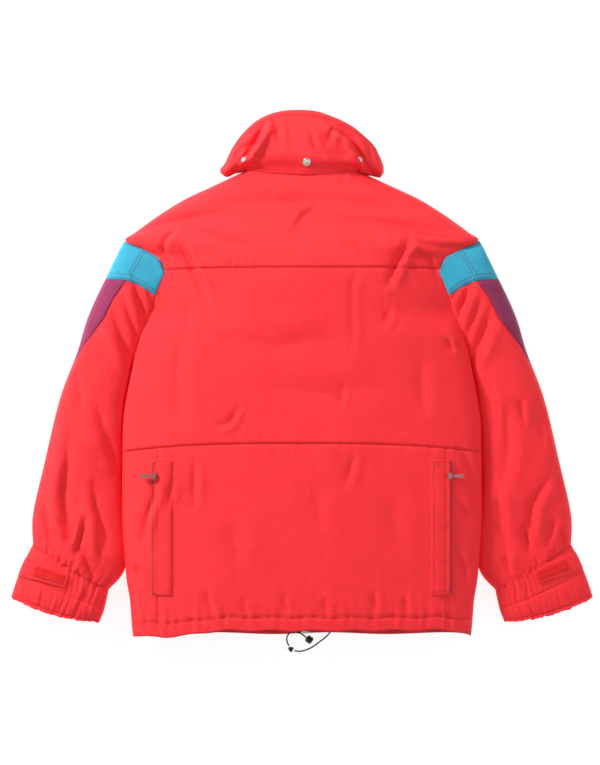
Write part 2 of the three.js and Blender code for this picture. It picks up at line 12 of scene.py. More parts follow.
import bmesh
import bpy
import numpy as np
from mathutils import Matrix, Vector


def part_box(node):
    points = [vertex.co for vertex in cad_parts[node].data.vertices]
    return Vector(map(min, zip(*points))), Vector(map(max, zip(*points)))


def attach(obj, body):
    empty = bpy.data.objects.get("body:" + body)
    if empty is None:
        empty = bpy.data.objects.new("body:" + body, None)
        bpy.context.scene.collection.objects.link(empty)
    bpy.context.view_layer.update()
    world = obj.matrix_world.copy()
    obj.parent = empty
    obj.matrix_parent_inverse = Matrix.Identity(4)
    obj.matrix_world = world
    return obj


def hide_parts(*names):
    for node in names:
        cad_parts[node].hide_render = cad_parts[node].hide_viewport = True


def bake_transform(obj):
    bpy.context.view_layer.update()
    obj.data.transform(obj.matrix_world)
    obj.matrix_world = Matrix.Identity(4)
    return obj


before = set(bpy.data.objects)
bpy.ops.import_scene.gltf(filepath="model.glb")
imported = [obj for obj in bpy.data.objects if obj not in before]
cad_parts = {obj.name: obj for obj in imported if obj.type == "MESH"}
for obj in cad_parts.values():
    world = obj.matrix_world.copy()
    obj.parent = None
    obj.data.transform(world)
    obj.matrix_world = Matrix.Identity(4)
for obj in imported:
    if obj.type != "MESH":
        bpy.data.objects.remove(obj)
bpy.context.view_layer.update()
MM = 0.001
SIDES = ((1, "right"), (-1, "left"))

# %% [markdown]
# ## Camera and colour
# The jacket is seen from straight above with the collar at the top. A long lens keeps the outline free
# of perspective, the way catalogue pictures of clothes are taken. The plain colour transform keeps the
# red saturated.

# %% Camera
scene = bpy.context.scene
scene.view_settings.view_transform = "Standard"
VIEW_HEIGHT = 1.3005  # what the picture covers from top to bottom at table height
VIEW_CENTRE = (-0.0034, -0.0145)
CAMERA_HEIGHT = 3.6
CLOTH_HEIGHT = 0.045  # the level at which the picture's scale is true
camera_data = bpy.data.cameras.new("camera")
camera_data.sensor_fit = "VERTICAL"
camera_data.sensor_height = 24
camera_data.lens = 24 * (CAMERA_HEIGHT - CLOTH_HEIGHT) / VIEW_HEIGHT
camera = bpy.data.objects.new("camera", camera_data)
camera.location = (*VIEW_CENTRE, CAMERA_HEIGHT)
scene.collection.objects.link(camera)
scene.camera = camera
print("lens in mm:", round(camera_data.lens, 1))

# %% [markdown]
# ## Cloth materials
# A ski shell is a tightly woven nylon: fine crossing threads, a soft satin sheen and faint streaks
# where the yarn varies. The weave goes into a node group, so the red, turquoise, plum and lining cloths
# share one recipe and differ only in what each material passes in.

# %% Weave node group
def socket(group, name, kind, default=None, output=False):
    made = group.interface.new_socket(name=name, in_out="OUTPUT" if output else "INPUT", socket_type=kind)
    if default is not None:
        made.default_value = default
    return made


def link(tree, out, into):
    tree.links.new(out, into)


def node(tree, kind, **settings):
    made = tree.nodes.new(kind)
    for key, value in settings.items():
        setattr(made, key, value)
    return made


def math_node(tree, operation, a, b=None):
    made = node(tree, "ShaderNodeMath", operation=operation)
    for slot, value in ((0, a), (1, b)):
        if value is None:
            continue
        if isinstance(value, (int, float)):
            made.inputs[slot].default_value = value
        else:
            link(tree, value, made.inputs[slot])
    return made.outputs[0]


def noise_node(tree, vector, scale, detail, distortion=0.0):
    made = node(tree, "ShaderNodeTexNoise")
    made.inputs["Scale"].default_value = scale
    made.inputs["Detail"].default_value = detail
    made.inputs["Distortion"].default_value = distortion
    link(tree, vector, made.inputs["Vector"])
    return made


def build_weave_group():
    tree = bpy.data.node_groups.new("nylon_weave", "ShaderNodeTree")
    socket(tree, "Vector", "NodeSocketVector")
    socket(tree, "Colour", "NodeSocketColor", (0.8, 0.1, 0.1, 1))
    for name, default in (("Threads", 900.0), ("Streaks", 0.06), ("Roughness", 0.5)):
        socket(tree, name, "NodeSocketFloat", default)
    socket(tree, "Colour", "NodeSocketColor", output=True)
    for name in ("Roughness", "Height"):
        socket(tree, name, "NodeSocketFloat", output=True)
    inputs = node(tree, "NodeGroupInput")
    outputs = node(tree, "NodeGroupOutput")
    split = node(tree, "ShaderNodeSeparateXYZ")
    link(tree, inputs.outputs["Vector"], split.inputs[0])
    threads = []
    for axis in (0, 1):
        wave = math_node(tree, "MULTIPLY", split.outputs[axis], inputs.outputs["Threads"])
        threads.append(math_node(tree, "SINE", math_node(tree, "MULTIPLY", wave, 2 * math.pi)))
    weave = math_node(tree, "MULTIPLY", threads[0], threads[1])
    stretch = node(tree, "ShaderNodeMapping")
    stretch.inputs["Scale"].default_value = (14.0, 150.0, 14.0)
    link(tree, inputs.outputs["Vector"], stretch.inputs["Vector"])
    streak = noise_node(tree, stretch.outputs[0], 1.0, 5.0)
    blotch = noise_node(tree, inputs.outputs["Vector"], 7.0, 3.0)
    both = math_node(tree, "ADD", streak.outputs[0], blotch.outputs[0])
    centred = math_node(tree, "SUBTRACT", both, 1.0)
    shade = math_node(tree, "MULTIPLY", centred, inputs.outputs["Streaks"])
    tint = node(tree, "ShaderNodeHueSaturation")
    link(tree, math_node(tree, "ADD", shade, 1.0), tint.inputs["Value"])
    link(tree, inputs.outputs["Colour"], tint.inputs["Color"])
    link(tree, tint.outputs[0], outputs.inputs["Colour"])
    rough = math_node(tree, "ADD", inputs.outputs["Roughness"], math_node(tree, "MULTIPLY", centred, 0.16))
    link(tree, rough, outputs.inputs["Roughness"])
    crease = noise_node(tree, inputs.outputs["Vector"], 55.0, 4.0, 0.6)
    fine = math_node(tree, "MULTIPLY", weave, 0.10)
    link(tree, math_node(tree, "ADD", fine, crease.outputs[0]), outputs.inputs["Height"])
    return tree


WEAVE = build_weave_group()


# %% Cloth, plastic and metal materials
def shader_of(material):
    material.use_nodes = True
    return material.node_tree.nodes["Principled BSDF"]


def add_relief(tree, shader, height, distance):
    relief = node(tree, "ShaderNodeBump")
    relief.inputs["Distance"].default_value = distance
    link(tree, height, relief.inputs["Height"])
    link(tree, relief.outputs[0], shader.inputs["Normal"])


def cloth(name, colour, roughness=0.5, sheen=0.25, threads=900.0, streaks=0.06, bump=0.0016):
    material = bpy.data.materials.new(name)
    shader = shader_of(material)
    tree = material.node_tree
    coordinates = node(tree, "ShaderNodeTexCoord")
    weave = node(tree, "ShaderNodeGroup", node_tree=WEAVE)
    link(tree, coordinates.outputs["Object"], weave.inputs["Vector"])
    weave.inputs["Colour"].default_value = (*colour, 1)
    weave.inputs["Threads"].default_value = threads
    weave.inputs["Streaks"].default_value = streaks
    weave.inputs["Roughness"].default_value = roughness
    add_relief(tree, shader, weave.outputs["Height"], bump)
    link(tree, weave.outputs["Colour"], shader.inputs["Base Color"])
    link(tree, weave.outputs["Roughness"], shader.inputs["Roughness"])
    shader.inputs["Sheen Weight"].default_value = sheen
    shader.inputs["Sheen Roughness"].default_value = 0.4
    shader.inputs["Specular IOR Level"].default_value = 0.3
    return material


def hard(name, colour, roughness, metallic=0.0, grain=300.0):
    material = bpy.data.materials.new(name)
    shader = shader_of(material)
    tree = material.node_tree
    coordinates = node(tree, "ShaderNodeTexCoord")
    noise = noise_node(tree, coordinates.outputs["Object"], grain, 4.0)
    spread = node(tree, "ShaderNodeMapRange")
    spread.inputs["To Min"].default_value = max(0.05, roughness - 0.12)
    spread.inputs["To Max"].default_value = roughness + 0.12
    link(tree, noise.outputs[0], spread.inputs[0])
    link(tree, spread.outputs[0], shader.inputs["Roughness"])
    shade = node(tree, "ShaderNodeHueSaturation")
    shade.inputs["Color"].default_value = (*colour, 1)
    spots = math_node(tree, "MULTIPLY", noise.outputs[0], 0.3)
    link(tree, math_node(tree, "ADD", spots, 0.85), shade.inputs["Value"])
    link(tree, shade.outputs[0], shader.inputs["Base Color"])
    add_relief(tree, shader, noise.outputs[0], 0.0001)
    shader.inputs["Metallic"].default_value = metallic
    return material


RED = cloth("red_nylon", (0.99, 0.021, 0.030), sheen=0.05)
RED_PATCH = cloth("red_hook_tape", (0.84, 0.015, 0.014), roughness=0.9, sheen=0.1, threads=500, bump=0.003)
RED_THREAD = cloth("red_thread", (0.60, 0.012, 0.018), roughness=0.6, bump=0.0003)
TEAL = cloth("turquoise_nylon", (0.026, 0.37, 0.545), sheen=0.08, streaks=0.12)
DARK_THREAD = cloth("dark_thread", (0.10, 0.035, 0.075), roughness=0.6, bump=0.0003)
PLUM = cloth("plum_nylon", (0.28, 0.018, 0.090), sheen=0.08, streaks=0.12)
LINING = cloth("red_lining", (0.70, 0.03, 0.045), roughness=0.42, sheen=0.1, streaks=0.1)
WADDING = cloth("white_wadding", (0.86, 0.86, 0.83), roughness=0.95, sheen=0.6, threads=120, bump=0.006)
TAPE = cloth("zip_tape_red", (0.60, 0.02, 0.03), roughness=0.8, threads=1200, bump=0.0006)
CORD = cloth("cord_braid", (0.060, 0.042, 0.046), roughness=0.8, threads=700, bump=0.0008)
NICKEL = hard("nickel", (0.72, 0.68, 0.64), 0.28, metallic=1.0)
SLIDER = hard("slider_metal", (0.36, 0.17, 0.165), 0.42, metallic=0.85)
COIL = hard("zip_coil", (0.34, 0.016, 0.022), 0.5)
BLACK = hard("black_acetal", (0.022, 0.018, 0.020), 0.42)
WHITE_TAPE = cloth("white_tape", (0.80, 0.82, 0.82), roughness=0.8, threads=1000, bump=0.0006)
print("materials:", len(bpy.data.materials))

# %% [markdown]
# ## From a rule to a sheet of cloth
# Most pieces here are thin cloth that follows a rule: a place across and a place along give a point in
# space. A helper samples the rule on a grid, gives the sheet its thickness along the local normal and
# closes its edges, so every panel is a real closed piece of cloth.

# %% Sheet builder
def show(name, mesh, smooth=True):
    """Put a mesh in the scene as a piece of that name."""
    mesh.polygons.foreach_set("use_smooth", [smooth] * len(mesh.polygons))
    piece = bpy.data.objects.new(name, mesh)
    scene.collection.objects.link(piece)
    return piece


def to_object(name, vertices, faces, material):
    mesh = bpy.data.meshes.new(name)
    mesh.from_pydata(vertices.tolist(), [], [tuple(int(v) for v in face) for face in faces])
    mesh.validate()
    mesh.materials.append(material)
    return show(name, mesh)


def finish_piece(piece, body, replaced=()):
    if body:
        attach(piece, body)
    if replaced:
        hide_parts(*replaced)
    return piece


def outward(piece):
    work = bmesh.new()
    work.from_mesh(piece.data)
    bmesh.ops.remove_doubles(work, verts=work.verts, dist=2e-6)
    bmesh.ops.recalc_face_normals(work, faces=work.faces)
    work.to_mesh(piece.data)
    work.free()
    return piece


def normals_of(points, ring):
    if ring:
        across = np.roll(points, -1, axis=1) - np.roll(points, 1, axis=1)
    else:
        across = np.gradient(points, axis=1)
    along = np.gradient(points, axis=0)
    normal = np.cross(across, along)
    length = np.linalg.norm(normal, axis=2, keepdims=True)
    return normal / np.maximum(length, 1e-9)


def quads(index, wrap_columns, wrap_rows=False):
    """The corners of every cell in a grid of vertex numbers, joined round where it wraps."""
    here = index if wrap_rows else index[:-1]
    after = np.roll(index, -1, axis=0) if wrap_rows else index[1:]
    cells = np.stack([here, np.roll(here, -1, axis=1), np.roll(after, -1, axis=1), after], axis=-1)
    return (cells if wrap_columns else cells[:, :-1]).reshape(-1, 4)


TURNED = [0, 3, 2, 1]  # the same four corners the other way round


def sheet(name, points, thickness, material, ring=False, side=1.0):
    """A closed slab: points is rows x columns x 3, and the sign of the thickness says which way it grows."""
    rows, columns = points.shape[:2]
    inner = points - side * thickness * normals_of(points, ring)
    vertices = np.concatenate([points.reshape(-1, 3), inner.reshape(-1, 3)])
    offset = rows * columns
    index = np.arange(offset).reshape(rows, columns)
    cells = quads(index, wrap_columns=ring)
    faces = [*cells, *(cells[:, TURNED] + offset)]
    edges = [index[0], index[-1][::-1]]
    if not ring:
        edges += [index[:, 0][::-1], index[:, -1]]
    for edge in edges:
        faces += list(quads(np.stack([edge, edge + offset]), wrap_columns=ring)[:, TURNED])
    return outward(to_object(name, vertices, faces, material))


def smoothstep(x, low, high):
    t = np.clip((x - low) / (high - low), 0, 1)
    return t * t * (3 - 2 * t)


def curve_through(points):
    """A smooth value against height, through a few chosen pairs (monotone between them)."""
    keys = np.array([p[0] for p in points], float)
    values = np.array([p[1] for p in points], float)
    steps = np.diff(values) / np.diff(keys)
    slopes = np.concatenate([[steps[0]], np.zeros(len(keys) - 2), [steps[-1]]])
    for i in range(1, len(keys) - 1):
        if steps[i - 1] * steps[i] > 0:
            slopes[i] = 2 * steps[i - 1] * steps[i] / (steps[i - 1] + steps[i])

    def evaluate(y):
        y = np.clip(y, keys[0], keys[-1])
        i = np.clip(np.searchsorted(keys, y) - 1, 0, len(keys) - 2)
        h = keys[i + 1] - keys[i]
        t = (y - keys[i]) / h
        a = (1 + 2 * t) * (1 - t) ** 2 * values[i] + t * (1 - t) ** 2 * h * slopes[i]
        b = t * t * (3 - 2 * t) * values[i + 1] + t * t * (t - 1) * h * slopes[i + 1]
        return a + b

    return evaluate


# %% [markdown]
# ## Wrinkles
# Padded cloth folds where it is pulled or slack. Each fold is a soft ridge with a valley beside it,
# along a short line, and it fades at both ends. A low, seeded ripple keeps the areas between folds from
# looking ironed.

# %% Folds and ripples
FOLD_GAIN = 1.75  # one dial for how crumpled the whole jacket is


def fold(x, y, line, width, depth, rise=0.55):
    """A crease along a line of points, with a soft bulge on its left side; all in millimetres.

    The crease is sharp in the middle and fades out towards both ends, as a pinch in stiff cloth does."""
    line = np.array(line, float)
    lengths = np.concatenate([[0], np.cumsum(np.linalg.norm(np.diff(line, axis=0), axis=1))])
    nearest = np.full(x.shape, 1e9)
    signed = np.zeros(x.shape)
    along = np.zeros(x.shape)
    for i in range(len(line) - 1):
        step = line[i + 1] - line[i]
        size = math.hypot(*step)
        t = np.clip(((x - line[i, 0]) * step[0] + (y - line[i, 1]) * step[1]) / size**2, 0, 1)
        off_x, off_y = x - line[i, 0] - t * step[0], y - line[i, 1] - t * step[1]
        distance = np.hypot(off_x, off_y)
        closer = distance < nearest
        side = np.sign(step[0] * off_y - step[1] * off_x)
        nearest = np.where(closer, distance, nearest)
        signed = np.where(closer, distance * side, signed)
        along = np.where(closer, (lengths[i] + t * size) / lengths[-1], along)
    fade = np.sin(np.clip(along * 0.9 + 0.05, 0, 1) * math.pi) ** 0.7
    cut = np.exp(-np.sqrt((nearest / width) ** 2 + 0.08))
    bulge = np.exp(-(((signed - 2.0 * width) / (1.5 * width)) ** 2))
    return FOLD_GAIN * depth * fade * (rise * bulge - 1.25 * cut)


def ripples(x, y, seed, size, height, count=14):
    draw = np.random.default_rng(seed)
    total = np.zeros_like(x)
    for _ in range(count):
        angle = draw.uniform(0, 2 * math.pi)
        wave = size * draw.uniform(0.6, 1.7)
        phase = draw.uniform(0, 2 * math.pi)
        warp = 0.35 * np.sin((x * math.sin(angle) - y * math.cos(angle)) / (wave * 1.9) + phase * 2)
        total += np.sin((x * math.cos(angle) + y * math.sin(angle)) / wave * 2 + phase + warp * 4)
    return height * total / math.sqrt(count)


def puckers(distance, along, spacing, depth, reach, seed=1):
    """Little gathers that run out from a seam; distance and place along it in millimetres."""
    draw = np.random.default_rng(seed)
    a, b, c = draw.uniform(0, 6.28, 3)
    beat = np.sin(along / spacing * 6.28 + a) + 0.6 * np.sin(along / spacing * 3.9 + b)
    beat += 0.5 * np.sin(along / spacing * 9.1 + c)
    return depth * beat * np.exp(-np.abs(distance) / reach)


# %% [markdown]
# ## The shape of the body
# The half width of the jacket against height above the middle is a handful of measured points with a
# smooth curve through them. The back swells up from the side seams like a low pillow. At the armholes
# it stays high, because there it runs straight on into the shoulder panels.

# %% Body outline and crown
half_width = curve_through([
    (-450, 287), (-434, 289), (-384, 293), (-346, 299), (-221, 306), (-100, 305), (24, 286), (94, 265),
    (134, 250.5), (158, 238.5), (176, 233.5), (195, 242), (211, 269), (225, 299), (230, 301), (239, 288),
    (252, 271), (274, 240), (297, 203), (324, 146), (348, 94),
])
edge_height = curve_through([
    (-450, 40), (20, 40), (94, 44), (128, 51), (167, 55), (190, 54), (208, 49), (226, 34), (252, 26),
    (348, 22),
])
NECK_Y = 348
YOKE_Y = 179
POCKET_Y = -118
HEM_Y = -433
POCKET_X = 243
arm_openness = curve_through([(-450, 0), (60, 0), (118, 1), (196, 1), (224, 0), (348, 0)])


def crown_height(y):
    return 84 * (1 - 0.42 * smoothstep(y, 150, 349)) - 3 * smoothstep(-y, 380, 446)


def back_surface(s, y, displace=None):
    """s runs from -1 at the left edge to 1 at the right one."""
    closed = np.power(np.maximum(1 - s * s, 0), 0.36)
    open_side = 1 - np.abs(s) ** 2.4
    g = arm_openness(y)
    rise = closed * (1 - g) + open_side * g
    z = edge_height(y) + (crown_height(y) - edge_height(y)) * rise
    x = s * half_width(y)
    if displace is not None:
        keep = np.clip((1 - np.abs(s)) / 0.08, 0, 1) ** 0.5
        z = z + displace(x, y) * keep
    return np.stack([x, y, z], axis=-1) * MM


BACK_FOLDS = [
    (((180, 231), (175, 213), (160, 186), (147, 154)), 6, 5.5),
    (((182, 196), (197, 206), (217, 198), (231, 163)), 4, 3.0),
    (((197, 223), (237, 215), (279, 214)), 6, 3.0), (((97, 261), (187, 248), (272, 228)), 9, 3.0),
    (((29, 268), (60, 262), (98, 248)), 10, 2.2), (((245, 59), (255, 41)), 4, 3.0),
    (((92, 171), (85, 146), (86, 46)), 4, 1.8), (((70, -18), (65, -56)), 3, 2.2),
    (((147, 106), (140, 84)), 5, 2.0),
    (((-160, 285), (-60, 292), (30, 291), (110, 288), (190, 268)), 11, 2.6),
    (((-12, 240), (2, 268), (20, 279), (28, 264)), 6, 2.2), (((72, 222), (96, 212), (110, 196)), 7, 1.8),
    (((-215, 244), (-232, 227), (-234, 211), (-225, 196)), 4, 4.2),
    (((-204, 219), (-190, 189), (-171, 149), (-158, 124)), 6, 5.0),
    (((-188, 254), (-166, 238), (-133, 225), (-95, 213)), 8, 3.4),
    (((-262, 250), (-215, 260), (-147, 273), (-114, 262)), 8, 3.0),
    (((-117, 197), (-120, 181)), 2.5, 2.0), (((-90, 197), (-92, 184)), 2.5, 2.0),
    (((-106, -57), (-123, -84), (-142, -87)), 4, 3.2), (((-200, 70), (-212, 0), (-205, -70)), 12, 2.2),
    (((-190, 120), (-196, 60)), 7, 1.6), (((-140, 60), (-40, 48), (60, 62)), 16, 1.8),
    (((-60, -20), (40, -34), (130, -20)), 16, 1.6), (((200, 20), (206, -60)), 10, 2.0),
    (((-246, -168), (-248, -204), (-262, -243), (-271, -289)), 5, 3.4),
    (((-280, -322), (-275, -346)), 6, 3.2), (((-219, -179), (-225, -223)), 5, 2.6),
    (((-181, -150), (-181, -223)), 5, 3.0), (((268, -124), (290, -170), (296, -214)), 6, 2.6),
    (((262, -214), (288, -250)), 5, 3.0), (((256, -296), (276, -330), (282, -372)), 6, 2.6),
    (((87, -140), (76, -186)), 5, 2.6), (((-120, -250), (-104, -330)), 13, 1.8),
    (((20, -190), (36, -280)), 13, 1.6), (((150, -200), (164, -290)), 13, 1.6),
    (((-162, -370), (-150, -404)), 4, 2.6), (((-31, -374), (-24, -402)), 4, 2.4),
    (((37, -378), (44, -404)), 4, 2.4), (((121, -368), (126, -402)), 4, 2.6),
    (((172, -374), (180, -402)), 4, 2.4), (((-100, -380), (-94, -403)), 4, 2.0),
]


def seam_groove(distance, depth=2.2, width=1.9):
    return -depth * np.exp(-((distance / width) ** 2))


def seam_swell(distance, height=1.4, near=6.0, far=16.0):
    """Cloth rises softly beside a seam that holds it down."""
    d = np.abs(distance)
    return height * (np.exp(-d / far) - np.exp(-d / near))


def yoke_line(x):
    return YOKE_Y - 3.0 * np.abs(x / 231) ** 3 + 2.5 * smoothstep(x, 60, 220)


def pocket_line(x):
    return POCKET_Y - 7.5 * np.abs(x / 241) ** 3


def hem_line(x):
    """The hem hangs lower at the left side, a little lower at the right, and waves slightly."""
    return HEM_Y - 12 * smoothstep(-x, 120, 240) - 4 * smoothstep(x, 230, 270) + 1.2 * np.sin(x / 11)


def back_displacement(x, y):
    total = ripples(x, y, 3, 85, 0.9) + ripples(x, y, 8, 34, 0.35)
    for line, width, depth in BACK_FOLDS:
        total = total + fold(x, y, line, width, depth)
    to_yoke = y - yoke_line(x)
    to_pocket = y - pocket_line(x)
    for distance, groove, spacing, seed in ((to_yoke, 0.9, 26, 4), (to_pocket, 1.0, 22, 5)):
        total = total + seam_groove(distance, groove, 1.5) + seam_swell(distance, 1.2)
        total = total + puckers(distance, x, spacing, 0.30, 9, seed)
    low = smoothstep(-y, -POCKET_Y - 4, -POCKET_Y + 8)
    for side in (-1, 1):
        to_edge = x * side - POCKET_X
        total = total + low * (seam_groove(to_edge, 0.8, 1.5) + 1.0 * np.exp(-((to_edge + 12) / 13) ** 2))
        total = total + low * puckers(to_edge, y, 30, 0.35, 12, 6)
    to_hem = y - hem_line(x) - 23
    total = total + seam_groove(to_hem, 1.5) + puckers(to_hem, x, 19, 0.8, 14, 7) + seam_swell(to_hem, 2.2)
    to_neck = y - (NECK_Y - 5)
    return total + puckers(to_neck, x, 24, 0.5, 14, 9) * (np.abs(x) < 110)


print("back folds:", len(BACK_FOLDS))

# %% [markdown]
# ## The back in panels
# The yoke, back panel, rear pocket panel and two side panels are separate pieces of cloth on one shared
# shape, so their edges meet in seams. The shared rule carries the folds, so a fold can run from one
# panel into the next.

# %% Back panels
def panel_points(left, right, low, high, rows, columns, rule):
    """left and right give s at a height, low and high give y at a place across."""
    v = np.linspace(0, 1, rows)[:, None]
    u = np.linspace(0, 1, columns)[None, :]
    bend = np.sin((u - 0.5) * math.pi) * 0.5 + 0.5  # closer columns towards the sides
    y_guess = np.full((rows, columns), 0.0)
    for _ in range(3):
        s = left(y_guess) + (right(y_guess) - left(y_guess)) * bend
        x = s * half_width(y_guess)
        y_guess = low(x) + (high(x) - low(x)) * v
    return rule(s, y_guess)


SEAM_GAP = 0.06
CLOTH_T = 1.1 * MM
whole_left = lambda y: -np.ones_like(y)
whole_right = lambda y: np.ones_like(y)
pocket_s = lambda y: (POCKET_X - SEAM_GAP) / half_width(y)
side_s = lambda y: (POCKET_X + SEAM_GAP) / half_width(y)
shaped = lambda s, y: back_surface(s, y, back_displacement)
neck_line = lambda x: NECK_Y - 7.0 * np.clip(1 - (x / 94) ** 2, 0, 1) + 0 * x


def back_panel(name, left, right, low, high, rows, columns, replaced):
    points = panel_points(left, right, low, high, rows, columns, shaped)
    piece = sheet(name, points, CLOTH_T, RED)
    print(name, "faces:", len(piece.data.polygons))
    return finish_piece(piece, "jacket", replaced)


above_yoke = lambda x: yoke_line(x) + SEAM_GAP
below_yoke = lambda x: yoke_line(x) - SEAM_GAP
above_pocket = lambda x: pocket_line(x) + SEAM_GAP
below_pocket = lambda x: pocket_line(x) - SEAM_GAP
back_panel("yoke_cloth", whole_left, whole_right, above_yoke, neck_line, 64, 190, ["back_yoke"])
back_panel("back_panel_cloth", whole_left, whole_right, above_pocket, below_yoke, 84, 190, ["back_panel"])
back_panel("pocket_panel_cloth", lambda y: -pocket_s(y), pocket_s, hem_line, below_pocket, 96, 170,
           ["rear_pocket_panel"])
back_panel("side_panel_cloth_right", side_s, whole_right, hem_line, below_pocket, 96, 34,
           ["back_side_panel_right"])
back_panel("side_panel_cloth_left", whole_left, lambda y: -side_s(y), hem_line, below_pocket, 96, 34,
           ["back_side_panel_left"])

# %% [markdown]
# ## The fronts
# The two fronts lie face down on the table. Their undersides are pressed flat there, and they turn up
# at the side seams to meet the back. Each front is one panel with a straight inner edge along the zip.

# %% Front panels
FRONT_HEM = -446
ZIP_CHANNEL = 11
front_edge = curve_through([
    (-450, 40), (60, 40), (94, 36), (118, 8), (196, 8), (223, 30), (252, 26), (348, 22),
])


def front_surface(s, y, lift=0.0):
    flat = np.clip((1 - np.abs(s)) / 0.10, 0, 1)
    turn = 1 - np.sqrt(np.maximum(1 - (1 - flat) ** 2, 0))
    x = s * (half_width(y) - lift * 0.7)
    z = 0.4 + lift + (front_edge(y) - 0.4 - lift) * turn
    ripple = 0.5 * ripples(x, y, 21, 60, 0.8) * np.clip(1 - turn * 3, 0, 1)
    return np.stack([x, y, z + np.abs(ripple)], axis=-1) * MM


def front_panel(name, side, lift, thickness, hem, top, material, rows=70, columns=60):
    inner = lambda y: side * ZIP_CHANNEL / half_width(y)
    outer = lambda y: side * np.ones_like(y)
    low = lambda x: hem + 0 * x + 1.5 * np.sin(x / 31)
    high = lambda x: neck_line(x) if top is None else top + 0 * x
    points = panel_points(inner, outer, low, high, rows, columns, lambda s, y: front_surface(s, y, lift))
    return sheet(name, points, thickness, material, side=side)


for side, word in SIDES:
    front = front_panel(f"front_cloth_{word}", side, 0.0, -CLOTH_T, FRONT_HEM, None, RED)
    finish_piece(front, "jacket", [f"front_panel_{word}"])
    inside = front_panel(f"front_lining_cloth_{word}", side, 9.0, -CLOTH_T, FRONT_HEM + 3, None, LINING)
    finish_piece(inside, "jacket", [f"front_lining_{word}"])
    pad = front_panel(f"front_wadding_{word}", side, 3.2, -4.4 * MM, FRONT_HEM + 32, NECK_Y - 40, WADDING,
                      30, 24)
    finish_piece(pad, "jacket", [f"front_padding_{word}"])

# %% [markdown]
# ## What is inside the back
# Wadding and lining follow the shape of the back a little further in. They show only at the hem and the
# neck.

# %% Back wadding and linings
def inner_layer(name, depth, thickness, low, high, rows, columns, material, replaced, margin=0.975):
    edge = lambda y: margin * np.ones_like(y)
    drop = lambda s: np.array([0, 0, depth * MM]) * (1 - 0.7 * np.abs(s)[..., None] ** 6)
    rule = lambda s, y: back_surface(s, y) - drop(s)
    points = panel_points(lambda y: -edge(y), edge, low, high, rows, columns, rule)
    piece = sheet(name, points, thickness * MM, material)
    return finish_piece(piece, "jacket", replaced)


flat_line = lambda y: (lambda x: y + 0 * x)
below_neck, below_seam, above_hem = flat_line(NECK_Y - 40), flat_line(POCKET_Y - 2), flat_line(HEM_Y + 30)
back_pad = inner_layer("back_wadding", 13.5, 3.5, flat_line(POCKET_Y), below_neck, 40, 50, WADDING,
                       ["back_padding"])
inner_layer("pocket_back_cloth", 10.0, 0.9, flat_line(HEM_Y + 4), below_seam, 30, 50, LINING,
            ["rear_pocket_back"])
low_pad = inner_layer("low_back_wadding", 13.0, 3.4, above_hem, below_seam, 30, 50, WADDING,
                      ["lower_back_padding"])
inner_layer("back_lining_cloth", 18.5, 0.9, flat_line(HEM_Y + 2), lambda x: neck_line(x) - 3, 60, 60, LINING,
            ["back_lining"])

# %% [markdown]
# ## Sleeves
# A sleeve lies as a flattened tube. Rows run across it from the armhole to the wrist; each row is a
# place on the outer edge, a place on the inner edge and a height. The turquoise panel is the ring
# between the first two rows, the plum stripe narrows to a point along the outer edge, and the red cloth
# is the rest.

# %% Sleeve rows and surface
OUTER = [(303, 227), (336, 161), (365, 95), (383, 36), (413, -44), (440, -156), (459, -240), (459, -291)]
INNER = [(233, 172), (249, 133), (259, 95), (283, 28), (300.5, -52), (307, -180), (300, -318), (332, -369)]
ARMHOLE_LINE = [(303, 227), (271, 213), (243, 197), (233, 172)]
PANEL_LINE = [(336, 161), (299, 159), (274, 149), (249, 133)]
ROW_MID = [26, 26, 25, 24, 23, 22, 21, 20]
ROW_RISE = [29, 31, 32, 32, 31, 29, 26, 22]
ROW_INNER = [55, 50, 40, 27, 22, 21, 20, 19]
LAST_ROW = 7
ROW_STEP = 60  # about how many mm there are from row to row
STRIPE_LINE = [(1.0, 0.42), (1.47, 0.32), (2.0, 0.29), (2.4, 0.20), (2.8, 0.09), (3.4, 0.0)]


def spread(points, u):
    """Places at shares u of the way along a broken line, slightly rounded."""
    points = np.array(points, float)
    lengths = np.concatenate([[0], np.cumsum(np.linalg.norm(np.diff(points, axis=0), axis=1))])
    at = u * lengths[-1]
    soft = 4.0
    total = 0
    for shift in (-soft, 0, soft):
        a = np.clip(at + shift, 0, lengths[-1])
        total = total + np.stack([np.interp(a, lengths, points[:, k]) for k in (0, 1)], axis=-1)
    return total / 3


def along_rows(values, r):
    """Smooth interpolation (Catmull-Rom) of a row value at row numbers r."""
    values = np.array(values, float)
    r = np.clip(r, 0, len(values) - 1 - 1e-9)
    i = np.floor(r).astype(int)
    t = r - i
    if values.ndim > 1:
        t = t[..., None]
    take = lambda k: values[np.clip(k, 0, len(values) - 1)]
    a, b, c, d = take(i - 1), take(i), take(i + 1), take(i + 2)
    return 0.5 * (2 * b + (c - a) * t + (2 * a - 5 * b + 4 * c - d) * t * t + (3 * b - a - 3 * c + d) * t**3)


UPPER_ARM_FOLDS = [
    (((285, 152), (270, 111), (264, 84)), 6, 5.0), (((262, 140), (252, 122)), 4, 3.0),
    (((318, 94), (299, 46), (278, 2)), 8, 5.0), (((300, 118), (284, 76), (276, 52)), 5, 3.0),
]
RIGHT_FOLDS = UPPER_ARM_FOLDS + [
    (((418, -180), (391, -223), (386, -277), (404, -318)), 7, 5.0), (((376, -258), (388, -304)), 4, 4.0),
    (((345, -306), (355, -337)), 4, 3.4), (((369, -46), (377, -78)), 5, 3.0),
    (((310, -20), (322, -53), (326, -100)), 7, 4.0), (((345, -60), (352, -130), (340, -190)), 9, 3.0),
    (((430, -150), (440, -214)), 7, 2.6), (((332, -200), (338, -262), (352, -300)), 7, 3.4),
    (((430, -246), (418, -288)), 6, 3.2), (((405, -60), (410, -120)), 9, 2.2),
    (((440, -262), (446, -292)), 4, 2.6),
]
